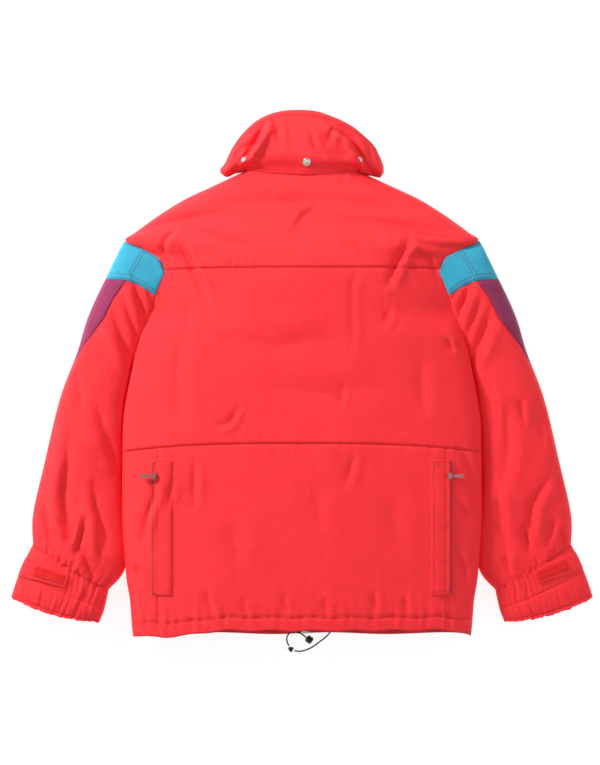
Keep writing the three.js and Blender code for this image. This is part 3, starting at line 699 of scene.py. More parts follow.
LEFT_FOLDS = UPPER_ARM_FOLDS + [
    (((398, -113), (398, -152), (405, -209), (398, -254), (389, -296)), 8, 5.0),
    (((369, -245), (376, -277), (387, -309)), 4, 5.0), (((328, -109), (314, -170)), 6, 3.0),
    (((355, -190), (348, -232), (335, -270), (334, -302)), 6, 4.0), (((348, -259), (342, -318)), 5, 3.0),
    (((380, -296), (369, -314), (355, -346)), 5, 4.6), (((419, -243), (394, -273)), 5, 3.4),
    (((350, -41), (323, -139)), 9, 3.4), (((420, -60), (428, -150)), 9, 2.4),
    (((440, -226), (428, -280)), 6, 2.6), (((384, 0), (372, -60)), 8, 2.2),
]


def gather(u, distance, depth, reach):
    """Gathers across a wrist: ridges run along the sleeve and fade with distance from the elastic."""
    wave = np.sin(u * 78 + 1.1) + 0.7 * np.sin(u * 121 + 0.4) + 0.5 * np.sin(u * 47)
    return depth * wave * np.exp(-np.abs(distance) / reach)


def straight(row, u):
    """Places straight across a sleeve row from its outer to its inner edge."""
    outer, inner = np.array(OUTER[row]), np.array(INNER[row])
    return outer + (inner - outer) * u[..., None]


def sleeve_point(angle, r, side, depth=0.0):
    u = 0.5 - 0.5 * np.cos(angle)
    outer = along_rows(OUTER, r)
    inner = along_rows(INNER, r)
    width = np.linalg.norm(outer - inner, axis=-1)
    u_in = u * (1 - 2 * depth / width) + depth / width
    plan = outer + (inner - outer) * u_in[..., None]
    seam_lines = enumerate((ARMHOLE_LINE, PANEL_LINE))
    row0, row1 = (spread(line, u_in) - straight(row, u_in) for row, line in seam_lines)
    near0 = np.clip(1 - r, 0, 1)[..., None]
    near1 = np.clip(1 - np.abs(r - 1), 0, 1)[..., None]
    plan = plan + row0 * near0 + row1 * np.where(r[..., None] > 1, near1**2, near1)
    x, y = plan[..., 0], plan[..., 1]
    mid, rise, inner_z = (along_rows(rows, r) for rows in (ROW_MID, ROW_RISE, ROW_INNER))
    s = np.sin(angle)
    past = np.cos(angle) < 0
    top = mid + rise - depth
    base = np.where(past, inner_z, mid)
    upper = base + (top - base) * np.power(np.maximum(s, 0), 0.62)
    lower = base + (0.6 + depth - base) * np.minimum(1, np.power(np.maximum(-s, 0) / 0.42, 0.8))
    z = np.where(s >= 0, upper, lower)
    join = np.clip(1 - r, 0, 1) ** 2
    z = np.where(s >= 0, z * (1 - join) + (edge_height(y) - depth) * join, z)
    lift = np.clip(s, 0, 1) ** 0.6
    shape = ripples(x, y, 31 if side > 0 else 32, 42, 1.1) + ripples(x, y, 12, 20, 0.35)
    for line, wide, deep in RIGHT_FOLDS if side > 0 else LEFT_FOLDS:
        shape = shape + fold(x, y, line, wide, deep)
    shape = shape * smoothstep(r, 0.0, 0.5)
    shape = shape + gather(u, (LAST_ROW - r) * ROW_STEP, 1.3, 26) * smoothstep(r, 5.6, LAST_ROW)
    to_panel = (r - 1) * ROW_STEP
    z = z + lift * (shape + seam_groove(to_panel, 1.8) + seam_swell(to_panel, 1.6))
    z = z + lift * (seam_groove(r * ROW_STEP, 1.6) + seam_swell(r * ROW_STEP, 1.6))
    edge_u = np.interp(r, [p[0] for p in STRIPE_LINE], [p[1] for p in STRIPE_LINE])
    to_stripe = (u - edge_u) * width
    z = z + lift * np.where((r > 1) & (r < 3.3), seam_groove(to_stripe, 1.8) + seam_swell(to_stripe, 1.4), 0)
    z = z - 1.2 * np.exp(-np.abs(LAST_ROW - r) * ROW_STEP / 9) * lift
    return np.stack([side * x, y, z], axis=-1) * MM


def stripe_angle(r):
    u = np.interp(r, [p[0] for p in STRIPE_LINE], [p[1] for p in STRIPE_LINE])
    return np.arccos(1 - 2 * u)


def sleeve_sheet(name, side, start, stop, r0, r1, rows, columns, depth, thickness, material, ring):
    r = np.linspace(r0, r1, rows)[:, None] + np.zeros((1, columns))
    count = columns if ring else columns - 1
    share = np.arange(columns)[None, :] / count
    first = start(r) if callable(start) else start
    last = stop(r) if callable(stop) else stop
    angle = first + (last - first) * share
    return sheet(name, sleeve_point(angle, r, side, depth), -side * thickness * MM, material, ring=ring)


def bend_between(piece):
    """Bakes the piece's placement into its mesh."""
    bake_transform(piece)


def over_shoulder(piece, replaced=()):
    bend_between(piece)
    return finish_piece(piece, None, replaced)


FULL = 2 * math.pi
ANGLE_GAP = 0.006
ROW_GAP = 0.006
STRIPE_TIP = 3.4  # the row at which the stripe has run out
for side, word in SIDES:
    panel = sleeve_sheet(f"shoulder_cloth_{word}", side, 0.0, FULL, ROW_GAP, 1 - ROW_GAP, 34, 150, 0, 1.1,
                         TEAL, True)
    over_shoulder(panel, [f"shoulder_panel_{word}"])
    to_stripe = lambda r: np.maximum(stripe_angle(r) - ANGLE_GAP, 0.004)
    stripe = sleeve_sheet(f"stripe_cloth_{word}", side, 0.0, to_stripe, 1 + ROW_GAP, STRIPE_TIP - 0.02,
                          70, 44, 0, 1.1, PLUM, False)
    over_shoulder(stripe, [f"sleeve_stripe_{word}"])
    from_stripe = lambda r: stripe_angle(r) + np.where(r < STRIPE_TIP, ANGLE_GAP, 0.0002)
    cloth_tube = sleeve_sheet(f"sleeve_cloth_{word}", side, from_stripe, FULL - 0.0002,
                              1 + ROW_GAP, LAST_ROW, 190, 150, 0, 1.1, RED, False)
    over_shoulder(cloth_tube, [f"sleeve_upper_{word}", f"sleeve_under_{word}"])
    wool = sleeve_sheet(f"sleeve_wadding_{word}", side, 0.0, FULL, 0.6, 6.8, 90, 90, 6.5, 1.6, WADDING, True)
    over_shoulder(wool, [f"sleeve_padding_{word}"])
    inside = sleeve_sheet(f"sleeve_lining_cloth_{word}", side, 0.0, FULL, 0.2, LAST_ROW, 80, 80, 9.4, 0.8,
                          LINING, True)
    over_shoulder(inside, [f"sleeve_lining_{word}"])
    print(word, "sleeve faces:", len(cloth_tube.data.polygons))

# %% [markdown]
# ## Cuffs
# Each cuff is a short tube of the same red cloth, gathered on elastic at its inner half, so its ridges
# run along the sleeve and its hem is wavy. A strap with a stitched patch lies across the back of it.

# %% Cuffs, elastic and straps
CUFF_OUTER = [(459, -291), (472, -316), (486, -349), (497, -382)]
CUFF_INNER = [(332, -369), (336, -388), (341, -407), (348, -424)]
CUFF_MID = [20, 19.5, 19, 18]
CUFF_RISE = [21, 21, 20, 18]
CUFF_STEP = 28  # about how many mm there are from row to row
CUFF_SEED = {"right": 0.4, "left": 2.3}
TAB_SHARE = (0.012, 0.53)  # where the strap lies across the cuff


def cuff_point(u, lower, r, side, depth=0.0, folds=True, seed=0.0):
    outer = along_rows(CUFF_OUTER, r)
    inner = along_rows(CUFF_INNER, r)
    width = np.linalg.norm(outer - inner, axis=-1)
    u_in = u * (1 - 2 * depth / width) + depth / width
    plan = outer + (inner - outer) * u_in[..., None]
    mid, rise = along_rows(CUFF_MID, r), along_rows(CUFF_RISE, r)
    s = np.sqrt(np.clip(1 - (1 - 2 * u) ** 2, 0, 1))
    upper = mid + (rise - depth) * s**0.62
    under = mid + (1.2 + depth - mid) * np.minimum(1, (s / 0.45) ** 0.8)
    z = np.where(lower, under, upper)
    if folds:
        drift = u + 0.012 * np.sin(r * 2.1 + u * 9 + seed)
        wave = np.sin(drift * 61 + seed + r * 0.6) * (0.6 + 0.4 * np.sin(u * 17 + r))
        wave = wave + 0.5 * np.sin(drift * 103 - r)
        wave = wave + 0.7 * np.sin(drift * 33 + seed + 1.4 * r)
        pull = 0.22 + 0.78 * smoothstep(u, 0.35, 0.62) + 0.2 * smoothstep(r, 2.4, 3.0)
        tuck = np.exp(-((r - 0.12) / 0.3) ** 2) + 0.75 * np.exp(-((r - 1.05) / 0.35) ** 2) + 0.55
        lift = np.where(lower, -0.12, 1.0) * np.clip(s, 0, 1) ** 0.6
        z = z + lift * 1.0 * wave * pull * tuck
        rings = ((0, 1.8), (2.72, 1.4), (1.62, 1.2))  # row and depth of each seam round the cuff
        ring = sum(seam_groove((r - row) * CUFF_STEP, deep) for row, deep in rings)
        puff = 2.0 * np.exp(-((r - 2.2) / 0.35) ** 2) * (0.6 + 0.4 * wave / 2)
        z = z + lift * (ring + seam_swell(r * CUFF_STEP, 1.4) + puff)
        belly = 8.0 * np.sin(u * math.pi) * smoothstep(r, 0.4, 3.0) + 0.8 * wave * smoothstep(r, 2.0, 3.0)
        plan = plan + belly[..., None] * np.array([0.28, -0.96])
    return np.stack([side * plan[..., 0], plan[..., 1], z], axis=-1) * MM


def cuff_ring(name, side, r0, r1, rows, columns, depth, thickness, material, folds=True, seed=0.0):
    angle = np.linspace(0, FULL, columns, endpoint=False)[None, :] + np.zeros((rows, 1))
    r = np.linspace(r0, r1, rows)[:, None] + np.zeros((1, columns))
    points = cuff_point(0.5 - 0.5 * np.cos(angle), np.sin(angle) < 0, r, side, depth, folds, seed)
    return sheet(name, points, -side * thickness * MM, material, ring=True)


def tab_point(p, q, side, height):
    """A place on the strap: p runs inwards along it, q across it."""
    share = TAB_SHARE[0] + (TAB_SHARE[1] - TAB_SHARE[0]) * p
    low, drop = (0.55, 0.36) if side > 0 else (0.92, 0.48)
    row = low - drop * p + 0.98 * q
    return cuff_point(share, np.zeros(share.shape, bool), np.maximum(row, 0), side, -height, False)


def tab_slab(name, side, p0, p1, q0, q1, corner, height, thickness, material, rows=26, columns=72):
    """A flat strap with rounded corners at its inner end, a little domed."""
    p = np.linspace(p0, p1, columns)[None, :] + np.zeros((rows, 1))
    q = np.linspace(-1, 1, rows)[:, None] + np.zeros((1, columns))
    run_in = np.clip((p - (p1 - corner)) / corner, 0, 1)
    half = (q1 - q0) / 2 * (0.72 + 0.28 * np.sqrt(np.clip(1 - run_in**2, 0, 1)))
    lift = height + 0.8 * (1 - q**4) * (1 - run_in**4) + 0.35 * np.sin(p * 19) * (1 - q**2)
    points = tab_point(p, (q0 + q1) / 2 + half * q, side, lift)
    return sheet(name, points, side * thickness * MM, material)


def from_cuff(piece, replaced=()):
    """Bakes the strap's placement into its mesh and hides the pieces it replaces."""
    bend_between(piece)
    return finish_piece(piece, None, replaced)


for side, word in SIDES:
    sleeve = f"sleeve_{word}"
    cuff = cuff_ring(f"cuff_cloth_{word}", side, 0.02, 3.0, 96, 300, 0, 1.1, RED, True, CUFF_SEED[word])
    finish_piece(cuff, sleeve, [f"cuff_{word}"])
    inner_cuff = cuff_ring(f"cuff_facing_{word}", side, 0.3, 2.98, 40, 180, 3.6, 0.8, RED, True, 0.4)
    finish_piece(inner_cuff, sleeve)
    band = cuff_ring(f"cuff_elastic_band_{word}", side, 0.75, 1.45, 16, 140, 2.2, 0.9, TAPE, False)
    finish_piece(band, sleeve, [f"cuff_elastic_{word}"])
    tab = tab_slab(f"cuff_strap_cloth_{word}", side, 0, 1, 0, 1, 0.1, 2.6, 1.4, RED)
    from_cuff(tab, [f"cuff_tab_{word}"])
    patch = tab_slab(f"cuff_patch_{word}", side, 0.28, 0.93, 0.2, 0.8, 0.03, 3.5, 0.9, RED_PATCH, 14, 50)
    finish_piece(patch, f"cuff_strap_{word}")
print("cuffs made at the ends of both sleeves")

# %% [markdown]
# ## Collar
# The collar stands up from the neck seam and has rolled over at both sides, so its outline is a dome.
# It is a flattened tube too: an outer cloth, its padding and an inner cloth that meet in a soft roll at
# the top edge.

# %% Collar, snaps and hanger loop
COLLAR_HALF = 140
DOME_RIGHT = curve_through([
    (0, 449.5), (20, 448), (48, 440), (82, 424), (105, 406), (123, 388), (134, 370), (140, 354),
])
DOME_LEFT = curve_through([
    (0, 449.5), (22, 449), (49, 444), (74, 433), (101, 409), (117, 387), (130, 363), (140, 350),
])
NECK_RIGHT = curve_through([(0, 338), (60, 339), (100, 343), (118, 341), (134, 338), (140, 345)])
NECK_LEFT = curve_through([(0, 338), (50, 341), (98, 347), (114, 345), (129, 339), (140, 345)])
COLLAR_TOP = curve_through([(0, 50), (0.16, 57), (0.3, 61), (0.7, 55), (1, 42)])
COLLAR_FOLDS = [
    (((-64, 424), (-78, 398), (-92, 376), (-112, 354)), 5, 9.0),
    (((-51, 435), (-41, 415), (-39, 386)), 5, 3.4), (((-84, 392), (-104, 384), (-116, 360)), 5, 3.4),
    (((51, 418), (45, 392)), 5, 4.0), (((126, 338), (112, 352), (96, 378), (82, 402), (58, 416)), 5, 8.5),
    (((112, 390), (120, 366), (124, 350)), 5, 3.4), (((14, 411), (22, 385), (37, 367)), 4, 2.8),
    (((-92, 372), (-70, 364)), 5, 2.0), (((88, 380), (70, 372)), 5, 1.8),
    (((-16, 430), (20, 424)), 9, 1.5),
]


def collar_point(angle, b, depth=0.0, folds=True, inset=0.0):
    x = (COLLAR_HALF - depth - inset) * np.cos(angle)
    s = np.sin(angle)
    dome = np.where(x > 0, DOME_RIGHT(np.abs(x)), DOME_LEFT(np.abs(x)))
    neck = np.where(x > 0, NECK_RIGHT(np.abs(x)), NECK_LEFT(np.abs(x)))
    y = neck + b * (dome - neck)
    roll = np.clip((b - 0.86) / 0.14, 0, 1)
    mid = 19 + 0 * x
    edge = np.power(np.maximum(s, 0), 0.7)
    upper = mid + (COLLAR_TOP(b) - depth - mid) * edge
    low_body = 22 + 28.5 * np.power(np.clip(1 - (x / 98) ** 2, 0, 1), 0.36) - depth
    seam = 1 - smoothstep(b, 0.0, 0.22)
    near_neck = np.where(np.abs(x) < 98, low_body, np.minimum(upper, 34 - depth))
    upper = upper * (1 - seam) + np.minimum(upper, near_neck) * seam
    under = mid + (1 + depth - mid) * np.minimum(1, np.power(np.maximum(-s, 0) / 0.3, 0.8))
    z = np.where(s >= 0, upper, under)
    turn = 5.2 * (1 - np.sqrt(np.clip(1 - roll**2, 0, 1))) * (1 if depth < 6 else -1)
    z = z - turn * np.sign(s) * np.clip(np.abs(s) * 3, 0, 1)
    if folds:
        shape = ripples(x, y, 51, 38, 0.8) + ripples(x, y, 52, 17, 0.25)
        for line, wide, deep in COLLAR_FOLDS:
            shape = shape + fold(x, y, line, wide, deep, 0.7)
        shape = shape + seam_groove(y - neck, 1.2) + seam_swell(y - neck, 1.2)
        shape = shape + seam_groove(dome - y - 9, 0.7)
        z = z + shape * np.clip(s, 0, 1) ** 0.8
        z = np.where(s >= 0, np.maximum(z, 14 - depth * 0.5 + 4 * np.clip(1 - s * 6, 0, 1)), z)
    return np.stack([x, y, z], axis=-1) * MM


def collar_ring(name, b0, b1, rows, columns, depth, thickness, material, folds, inset=0.0):
    angle = np.linspace(0, FULL, columns, endpoint=False)[None, :] + np.zeros((rows, 1))
    b = np.linspace(b0, b1, rows)[:, None] + np.zeros((1, columns))
    return sheet(name, collar_point(angle, b, depth, folds, inset), thickness * -MM, material, ring=True)


collar = collar_ring("collar_cloth", 0.0, 1.0, 120, 330, 0, 1.1, RED, True)
finish_piece(collar, "jacket", ["collar_outer"])
collar_pad = collar_ring("collar_wadding", 0.3, 0.9, 60, 160, 5.4, 1.6, WADDING, True, 34)
finish_piece(collar_pad, "jacket", ["collar_padding"])
collar_inside = collar_ring("collar_facing", 0.0, 1.0, 60, 160, 9.8, 1.0, RED, True)
finish_piece(collar_inside, "jacket", ["collar_inner"])


def lathe(name, profile, place, axis, material, steps=48):
    """A turned piece: profile holds (radius, height) pairs in mm, place is in mm, axis the way it points."""
    radius = np.array([p[0] for p in profile])[:, None]
    height = np.array([p[1] for p in profile])[:, None]
    angle = np.linspace(0, FULL, steps, endpoint=False)[None, :]
    points = np.stack([radius * np.cos(angle), radius * np.sin(angle), height + 0 * angle], axis=-1)
    points = points.reshape(-1, 3)
    turn = np.array(Vector((0, 0, 1)).rotation_difference(Vector(axis)).to_matrix())
    points = (points @ turn.T + np.array(place)) * MM
    rows = len(profile)
    index = np.arange(rows * steps).reshape(rows, steps)
    faces = [*quads(index, True), index[0][::-1], index[-1]]
    return outward(to_object(name, points, faces, material))


def snap_profile(size):
    r = size / 2
    rim = [(r - 0.4, 0), (r, 0.3), (r, 0.9), (r - 0.5, 1.5)]
    dish = [(r * 0.72, 1.6), (r * 0.62, 1.0), (r * 0.5, 1.0)]
    return rim + dish + [(r * 0.42, 1.9), (r * 0.2, 2.3), (0.15, 2.35)]


for word, size in (("centre", 14), ("right", 11), ("left", 11)):
    low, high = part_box(f"hood_snap_{word}")
    middle = (low + high) / 2
    x, y = middle.x / MM, middle.y / MM
    around = np.array([math.acos(max(-1, min(1, x / COLLAR_HALF)))])
    dome, neck = (DOME_RIGHT, NECK_RIGHT) if x > 0 else (DOME_LEFT, NECK_LEFT)
    at_b = (y - neck(abs(x))) / (dome(abs(x)) - neck(abs(x)))
    spot = collar_point(around, np.array([float(at_b)]))[0] / MM
    beside = collar_point(around + 0.03, np.array([float(at_b)]))[0] / MM
    above = collar_point(around, np.array([float(at_b) + 0.05]))[0] / MM
    out = Vector(np.cross(above - spot, beside - spot))
    out = out if out.z > 0 else -out
    snap = lathe(f"snap_{word}", snap_profile(size), spot - np.array(out.normalized()) * 0.3, out, NICKEL)
    finish_piece(snap, "jacket", [f"hood_snap_{word}"])
print("collar height in mm:", round(float(DOME_RIGHT(0)) - 339))

# %% [markdown]
# ## Rear pocket zips
# Each pocket opens at its side. A welt, a long narrow flap, covers the zip, so only the slider and
# puller look out. The teeth come from a small Geometry Nodes tree that repeats one block along a line.

# %% Things that repeat: teeth and stitches
def build_repeat_group():
    """A node tree: puts one small block at each step along a curve, turned to follow it."""
    group = bpy.data.node_groups.new("repeat_along_line", "GeometryNodeTree")
    socket(group, "Geometry", "NodeSocketGeometry")
    socket(group, "Spacing", "NodeSocketFloat", 0.003)
    socket(group, "Size", "NodeSocketVector", (0.002, 0.0006, 0.0005))
    socket(group, "Rounded", "NodeSocketBool", True)
    socket(group, "Material", "NodeSocketMaterial")
    socket(group, "Geometry", "NodeSocketGeometry", output=True)
    inputs = node(group, "NodeGroupInput")
    outputs = node(group, "NodeGroupOutput")
    steps = node(group, "GeometryNodeResampleCurve", mode="LENGTH")
    link(group, inputs.outputs["Geometry"], steps.inputs["Curve"])
    link(group, inputs.outputs["Spacing"], steps.inputs["Length"])
    tangent = node(group, "GeometryNodeInputTangent")
    turn = node(group, "FunctionNodeAlignRotationToVector", axis="X")
    link(group, tangent.outputs[0], turn.inputs["Vector"])
    ball = node(group, "GeometryNodeMeshIcoSphere")
    ball.inputs["Radius"].default_value = 0.5
    ball.inputs["Subdivisions"].default_value = 2
    block = node(group, "GeometryNodeMeshCube")
    pick = node(group, "GeometryNodeSwitch", input_type="GEOMETRY")
    link(group, inputs.outputs["Rounded"], pick.inputs["Switch"])
    link(group, block.outputs["Mesh"], pick.inputs["False"])
    link(group, ball.outputs["Mesh"], pick.inputs["True"])
    placed = node(group, "GeometryNodeInstanceOnPoints")
    link(group, steps.outputs[0], placed.inputs["Points"])
    link(group, pick.outputs[0], placed.inputs["Instance"])
    link(group, turn.outputs[0], placed.inputs["Rotation"])
    link(group, inputs.outputs["Size"], placed.inputs["Scale"])
    real = node(group, "GeometryNodeRealizeInstances")
    link(group, placed.outputs[0], real.inputs[0])
    painted = node(group, "GeometryNodeSetMaterial")
    link(group, real.outputs[0], painted.inputs["Geometry"])
    link(group, inputs.outputs["Material"], painted.inputs["Material"])
    link(group, painted.outputs[0], outputs.inputs["Geometry"])
    return group


REPEAT = build_repeat_group()
REPEAT_IDS = {item.name: item.identifier for item in REPEAT.interface.items_tree if item.in_out == "INPUT"}


def repeat_along(name, lines, spacing, size, material, rounded=True):
    """lines is a list of point lists in metres; the result is one plain mesh of small blocks."""
    curve = bpy.data.curves.new(name + "_line", "CURVE")
    curve.dimensions = "3D"
    for line in lines:
        spline = curve.splines.new("POLY")
        spline.points.add(len(line) - 1)
        for point, place in zip(spline.points, line):
            point.co = (*[float(value) for value in place], 1)
    holder = bpy.data.objects.new(name + "_line", curve)
    scene.collection.objects.link(holder)
    modifier = holder.modifiers.new("repeat", "NODES")
    modifier.node_group = REPEAT
    modifier[REPEAT_IDS["Spacing"]] = spacing
    modifier[REPEAT_IDS["Size"]] = size
    modifier[REPEAT_IDS["Rounded"]] = rounded
    modifier[REPEAT_IDS["Material"]] = material
    bpy.context.view_layer.update()
    evaluated = holder.evaluated_get(bpy.context.evaluated_depsgraph_get())
    mesh = bpy.data.meshes.new_from_object(evaluated)
    mesh.name = name
    bpy.data.objects.remove(holder, do_unlink=True)
    return show(name, mesh, rounded)


def on_back(x, y, lift=0.0):
    x, y = np.broadcast_arrays(np.array(x, float), np.array(y, float))
    return shaped(x / half_width(y), y) + np.array([0, 0, lift * MM])


# %% Welts and rear zips
WELT_IN = 218
WELT_OUT = 250
ZIP_X = 249
ZIP_TOP = -146
ZIP_LOW = -374


def welt(word, side):
    q = np.linspace(0, 1, 90)[:, None]
    p = np.linspace(0, 1, 22)[None, :]
    x = side * (WELT_IN + (WELT_OUT - WELT_IN) * p) + 0 * q
    y = ZIP_LOW + (ZIP_TOP - ZIP_LOW) * q + 0 * p
    ends = np.minimum(q, 1 - q) * (ZIP_TOP - ZIP_LOW) * 1.0
    held = 1 - np.exp(-ends / 10)
    swell = 1.35 + 0.7 * np.sin(p * math.pi) * held + 1.9 * p**4 * held
    swell = swell - 0.75 * np.exp(-(p / 0.16) ** 2) + 0.5 * np.sin(y / 23 + side) * p**2 * held
    points = on_back(x, y)
    points[..., 2] += swell * MM
    piece = sheet(f"pocket_welt_{word}", points, side * 1.3 * MM, RED)
    return finish_piece(piece, "jacket")


def zip_tape(word, side):
    q = np.linspace(0, 1, 70)[:, None]
    x = side * (ZIP_X + np.array([-6, -3, 0, 3, 5.5])[None, :]) + 0 * q
    y = ZIP_LOW + 2 + (ZIP_TOP - ZIP_LOW - 4) * q + 0 * x
    points = on_back(x, y, 1.0)
    piece = sheet(f"pocket_zip_tape_{word}", points, side * 0.7 * MM, TAPE)
    finish_piece(piece, "jacket", [f"rear_zip_{word}"])
    lines = []
    for offset in (-0.85, 0.85):
        along = np.linspace(ZIP_LOW + 3, ZIP_TOP - 3, 120)
        lines.append(on_back(side * (ZIP_X + offset) + 0 * along, along, 1.7))
    tooth = (0.8 * MM, 1.5 * MM, 1.1 * MM)
    teeth = repeat_along(f"pocket_zip_teeth_{word}", lines, 1.5 * MM, tooth, COIL, False)
    return finish_piece(teeth, "jacket")


def paint(name, material):
    """A working-model piece that is already the right shape only needs its material."""
    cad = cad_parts[name]
    for slot_index in range(len(cad.material_slots)):
        cad.material_slots[slot_index].link = "OBJECT"
        cad.material_slots[slot_index].material = material
    return cad


for side, word in SIDES:
    welt(word, side)
    zip_tape(word, side)
    paint(f"rear_zip_slider_{word}", SLIDER)
    paint(f"rear_zip_pull_{word}", SLIDER)
print("welts from", ZIP_LOW, "to", ZIP_TOP, "mm")

# %% [markdown]
# ## Main zip
# The front zip faces the table. Its slider and puller are near the neck, and its end shows at the hem
# as a scrap of white tape with a turquoise corner.

# %% Main zip
for name, material in (("main_zip_tape_right", TAPE), ("main_zip_tape_left", TAPE), ("storm_flap", RED),
                       ("main_zip_slider", SLIDER), ("main_zip_pull", SLIDER), ("hanger_loop", LINING),
                       ("hem_cord", CORD), ("cord_lock", BLACK), ("cord_lock_button", BLACK),
                       ("cord_lock_spring", NICKEL), ("drawcord_bead", BLACK)):
    paint(name, material)
main_lines = []
for side in (1, -1):
    along = np.linspace(FRONT_HEM + 5, 288, 60)
    main_lines.append(np.stack([0 * along + side * 1.6, along, 0 * along + 5.2], axis=-1) * MM)
main_tooth = (1.3 * MM, 2.8 * MM, 1.6 * MM)
main_teeth = repeat_along("main_zip_teeth", main_lines, 2.6 * MM, main_tooth, SLIDER, False)
finish_piece(main_teeth, "jacket")


def soft_block(name, low, high, material, edge=0.6):
    """A box with rounded edges, between two corners in mm."""
    work = bmesh.new()
    bmesh.ops.create_cube(work, size=1.0)
    for vertex in work.verts:
        for k in range(3):
            vertex.co[k] = (low[k] + (vertex.co[k] + 0.5) * (high[k] - low[k])) * MM
    bmesh.ops.bevel(work, geom=list(work.edges), offset=edge * MM, segments=3, affect="EDGES", profile=0.5)
    mesh = bpy.data.meshes.new(name)
    work.to_mesh(mesh)
    work.free()
    mesh.materials.append(material)
    return show(name, mesh)


white_end = soft_block("zip_end_white", (0.6, -445.5, 8.0), (10.2, -434.5, 10.6), WHITE_TAPE)
finish_piece(white_end, "jacket")
corner = soft_block("zip_end_turquoise", (9.0, -441.5, 11.2), (15.5, -436.5, 12.8), TEAL)
finish_piece(corner, "jacket")

# %% [markdown]
# ## Draw cord
# The cord leaves the hem on both sides of the lock, meets in a knot on the table, and its spare end
# carries a bead.

# %% Draw cord
ON_HEM = 10.75
ON_TABLE = 1.4
CORD_D = 2.5
LOOP_RIGHT = [
    (62, -427, ON_HEM), (54, -436, ON_HEM), (46, -446, ON_HEM), (41.5, -451, ON_HEM - 2.5),
    (37, -455.5, ON_HEM - 6.5), (31, -460, ON_TABLE + 0.4), (22, -467, ON_TABLE), (10, -473.5, ON_TABLE),
    (-3, -477, ON_TABLE + 0.4), (-12.9, -475.5, ON_TABLE + 2.6),
]
LOOP_LEFT = [
    (-22.6, -467.6, ON_TABLE + 2.6), (-25.5, -460.5, ON_TABLE + 1), (-26.2, -454, ON_TABLE + 3),
    (-25, -450, ON_HEM - 1.6), (-22.5, -445.5, ON_HEM + 0.3), (-18, -439.5, ON_HEM + 1.4),
    (-13.2, -436.6, ON_HEM + 2.6),
]
CORD_END = [
    (-30, -427, ON_HEM), (-26, -430.5, ON_HEM + 3), (-18.5, -436.8, ON_HEM + 5.2),
    (-11.5, -442.6, ON_HEM + 2), (-3, -444.8, ON_HEM), (3, -449, ON_HEM - 2), (7.4, -452.6, ON_HEM - 3.8),
]
KNOT = (-19, -473, 5.15)


def smooth_line(points, count):
    return along_rows([list(p) for p in points], np.linspace(0, len(points) - 1, count))


def tube(name, line, radius, material, sides=12, closed=False):
    """A round tube of that radius in mm along a line of points in mm."""
    line = np.array(line, float)
    if closed:
        tangent = np.roll(line, -1, axis=0) - np.roll(line, 1, axis=0)
    else:
        tangent = np.gradient(line, axis=0)
    tangent = tangent / np.linalg.norm(tangent, axis=1)[:, None]
    up = np.array([0, 0, 1.0])
    across = np.cross(tangent, up)
    across = across / np.maximum(np.linalg.norm(across, axis=1)[:, None], 1e-6)
    other = np.cross(across, tangent)
    angle = np.linspace(0, FULL, sides, endpoint=False)
    rings = line[:, None] + radius * (across[:, None] * np.cos(angle)[None, :, None]
                                      + other[:, None] * np.sin(angle)[None, :, None])
    index = np.arange(len(line) * sides).reshape(len(line), sides)
    faces = list(quads(index, True, wrap_rows=closed))
    if not closed:
        faces += [index[0][::-1], index[-1]]
    return outward(to_object(name, rings.reshape(-1, 3) * MM, faces, material))


def length_of(line):
    return float(np.linalg.norm(np.diff(line, axis=0), axis=1).sum())


turns = np.linspace(0, FULL, 120, endpoint=False)
knot_line = np.stack([
    KNOT[0] + 1.25 * (np.sin(turns) + 2 * np.sin(2 * turns)),
    KNOT[1] + 1.25 * (np.cos(turns) - 2 * np.cos(2 * turns)),
    KNOT[2] - 0.6 - 1.9 * np.sin(3 * turns),
], axis=-1)
knot = tube("cord_knot", knot_line, 1.35, CORD, closed=True)
finish_piece(knot, "jacket", ["drawcord_knot"])
for name, points, replaced, far, partners in (
    ("cord_right", LOOP_RIGHT, "drawcord_loop_right", "knot", [knot]),
    ("cord_left", LOOP_LEFT, "drawcord_loop_left", "object", []),
    ("cord_spare_end", CORD_END, "drawcord_end", "fitting", [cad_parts["drawcord_bead"]]),
):
    line = smooth_line(points, 90)
    strand = tube(name, line, CORD_D / 2, CORD)
    finish_piece(strand, "jacket", [replaced])
    print(name, "length in mm:", round(length_of(line), 1))

# %% [markdown]
# ## Stitching
# Every seam on a shell is topstitched. Each line of stitches follows the same rule as the cloth under
# it, a little above, and the repeat tree turns the line into separate stitches.

# %% Stitches
STITCH = (2.5 * MM, 1.15 * MM, 0.8 * MM)
PITCH = 3.1 * MM
ON_TUBE = np.array([0, 0, 1.35 * MM])  # the tubes carry their cloth outside the rule, so stitches sit higher


def across(low, high, rule, count=160, lift=0.65):
    x = np.linspace(low, high, count)
    return on_back(x, rule(x), lift)


def upright(x, low, high, count=80, lift=0.65):
    y = np.linspace(low, high, count)
    return on_back(x + 0 * y, y, lift)


body_lines = [
    across(-228, 228, lambda x: yoke_line(x) + 4.0),
    across(-300, 300, lambda x: pocket_line(x) + 4.0),
    across(-286, 286, lambda x: hem_line(x) + 23, 240),
]
for side in (-1, 1):
    inner_x = side * (WELT_IN + 3.5)
    body_lines.append(upright(inner_x, ZIP_LOW + 1, ZIP_TOP - 1, 120, 1.7))
    for end in (ZIP_LOW + 1.5, ZIP_LOW + 8.0, ZIP_TOP - 1.5, ZIP_TOP - 8.0):
        x = side * np.linspace(WELT_IN + 3.5, WELT_OUT - 1, 16)
        body_lines.append(on_back(x, end + 0 * x, 2.1))
    body_lines.append(upright(side * (POCKET_X + 3.6), HEM_Y + 4, ZIP_LOW - 4, 30))
body_stitches = repeat_along("stitches_body", body_lines, PITCH, STITCH, RED_THREAD)
finish_piece(body_stitches, "jacket")

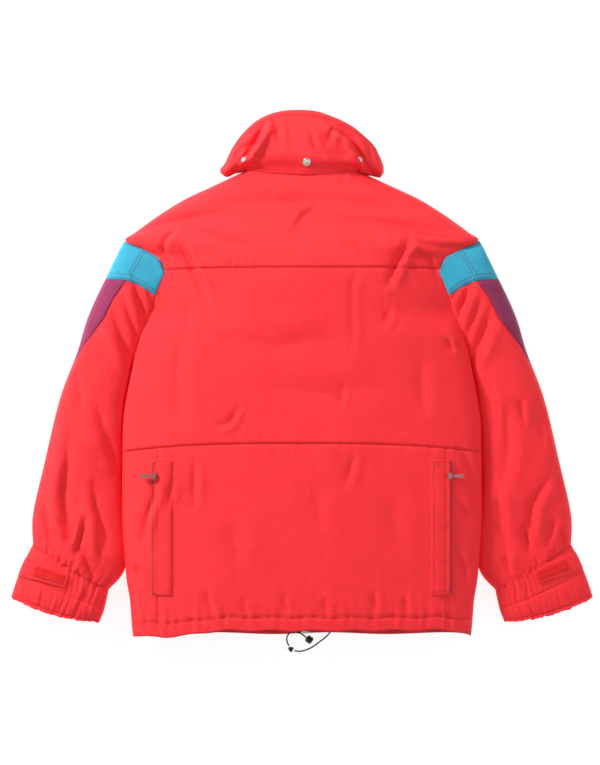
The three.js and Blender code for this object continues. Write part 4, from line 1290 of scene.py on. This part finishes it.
collar_lines = []
for b in (0.055, 0.925):
    angle = np.linspace(0.12, math.pi - 0.12, 200)
    collar_lines.append(collar_point(angle, b + 0 * angle) + np.array([0, 0, 0.35 * MM]))
collar_stitches = repeat_along("stitches_collar", collar_lines, PITCH, STITCH, RED_THREAD)
finish_piece(collar_stitches, "jacket")

for side, word in SIDES:
    teal_lines, red_lines = [], []
    angle = np.linspace(0.15, math.pi - 0.12, 90)
    for r in (0.09, 0.84, 0.93):
        teal_lines.append(sleeve_point(angle, r + 0 * angle, side) + ON_TUBE)
    r = np.linspace(0.12, 0.82, 40)
    for place in (1.33, 1.45):
        teal_lines.append(sleeve_point(place + 0 * r, r, side) + ON_TUBE)
    r = np.linspace(1.05, 3.1, 90)
    red_lines.append(sleeve_point(stripe_angle(r) + 0.05, r, side) + ON_TUBE)
    for name, lines, thread, slot in (("shoulder", teal_lines, DARK_THREAD, "shoulder_cloth"),
                                      ("sleeve", red_lines, RED_THREAD, "shell_cloth")):
        over_shoulder(repeat_along(f"stitches_{name}_{word}", lines, PITCH, STITCH, thread))
    cuff_lines = []
    u = np.linspace(0.02, 0.98, 130)
    for row in (0.16, 2.72):
        points = cuff_point(u, np.zeros(u.shape, bool), row + 0 * u, side, 0, True, CUFF_SEED[word])
        cuff_lines.append(points + ON_TUBE)
    cuff_stitches = repeat_along(f"stitches_cuff_{word}", cuff_lines, PITCH, STITCH, RED_THREAD)
    finish_piece(cuff_stitches, f"sleeve_{word}")
    ring_p = np.concatenate([np.linspace(0.31, 0.90, 40), np.full(12, 0.90), np.linspace(0.90, 0.31, 40),
                             np.full(12, 0.31)])
    ring_q = np.concatenate([np.full(40, 0.24), np.linspace(0.24, 0.76, 12), np.full(40, 0.76),
                             np.linspace(0.76, 0.24, 12)])
    edge_p = np.concatenate([np.linspace(0.03, 0.95, 60), np.full(12, 0.965), np.linspace(0.95, 0.03, 60)])
    edge_q = np.concatenate([np.full(60, 0.07), np.linspace(0.14, 0.86, 12), np.full(60, 0.93)])
    strap_lines = [tab_point(ring_p, ring_q, side, 5.45), tab_point(edge_p, edge_q, side, 4.5)]
    fine_stitch = (1.9 * MM, 0.8 * MM, 0.6 * MM)
    strap_stitches = repeat_along(f"stitches_strap_{word}", strap_lines, 2.4 * MM, fine_stitch, RED_THREAD)
    from_cuff(strap_stitches)

# %% [markdown]
# ## Table, light and background
# The jacket lies on a nearly white table. One broad key light from the upper left gives the folds their
# shape, a weaker one on the right opens the shadows, and the pale world light keeps them soft.

# %% Table and light
floor_material = bpy.data.materials.new("white_table")
floor_shader = shader_of(floor_material)
floor_shader.inputs["Base Color"].default_value = (0.25, 0.25, 0.25, 1)
floor_shader.inputs["Roughness"].default_value = 0.9
floor_shader.inputs["Emission Color"].default_value = (1, 1, 1, 1)
floor_shader.inputs["Emission Strength"].default_value = 0.85
bpy.ops.mesh.primitive_plane_add(size=40, location=(0, 0, -0.0006))
floor = bpy.context.active_object
floor.name = "table_top"
floor.data.materials.append(floor_material)

world = bpy.data.worlds.new("studio")
scene.world = world
world.use_nodes = True
world.node_tree.nodes["Background"].inputs["Color"].default_value = (0.96, 0.98, 1.0, 1)
world.node_tree.nodes["Background"].inputs["Strength"].default_value = 0.60


def area_light(name, location, size, power):
    data = bpy.data.lights.new(name, "AREA")
    data.shape = "DISK"
    data.size = size
    data.energy = power
    lamp = bpy.data.objects.new(name, data)
    lamp.location = location
    lamp.rotation_euler = (-Vector(location)).to_track_quat("-Z", "Y").to_euler()
    scene.collection.objects.link(lamp)
    return lamp


key = area_light("key_light", (-2.3, 1.7, 1.1), 0.6, 124)
fill = area_light("fill_light", (1.9, 0.2, 1.8), 1.6, 12)
print("lamps:", key.name, fill.name)
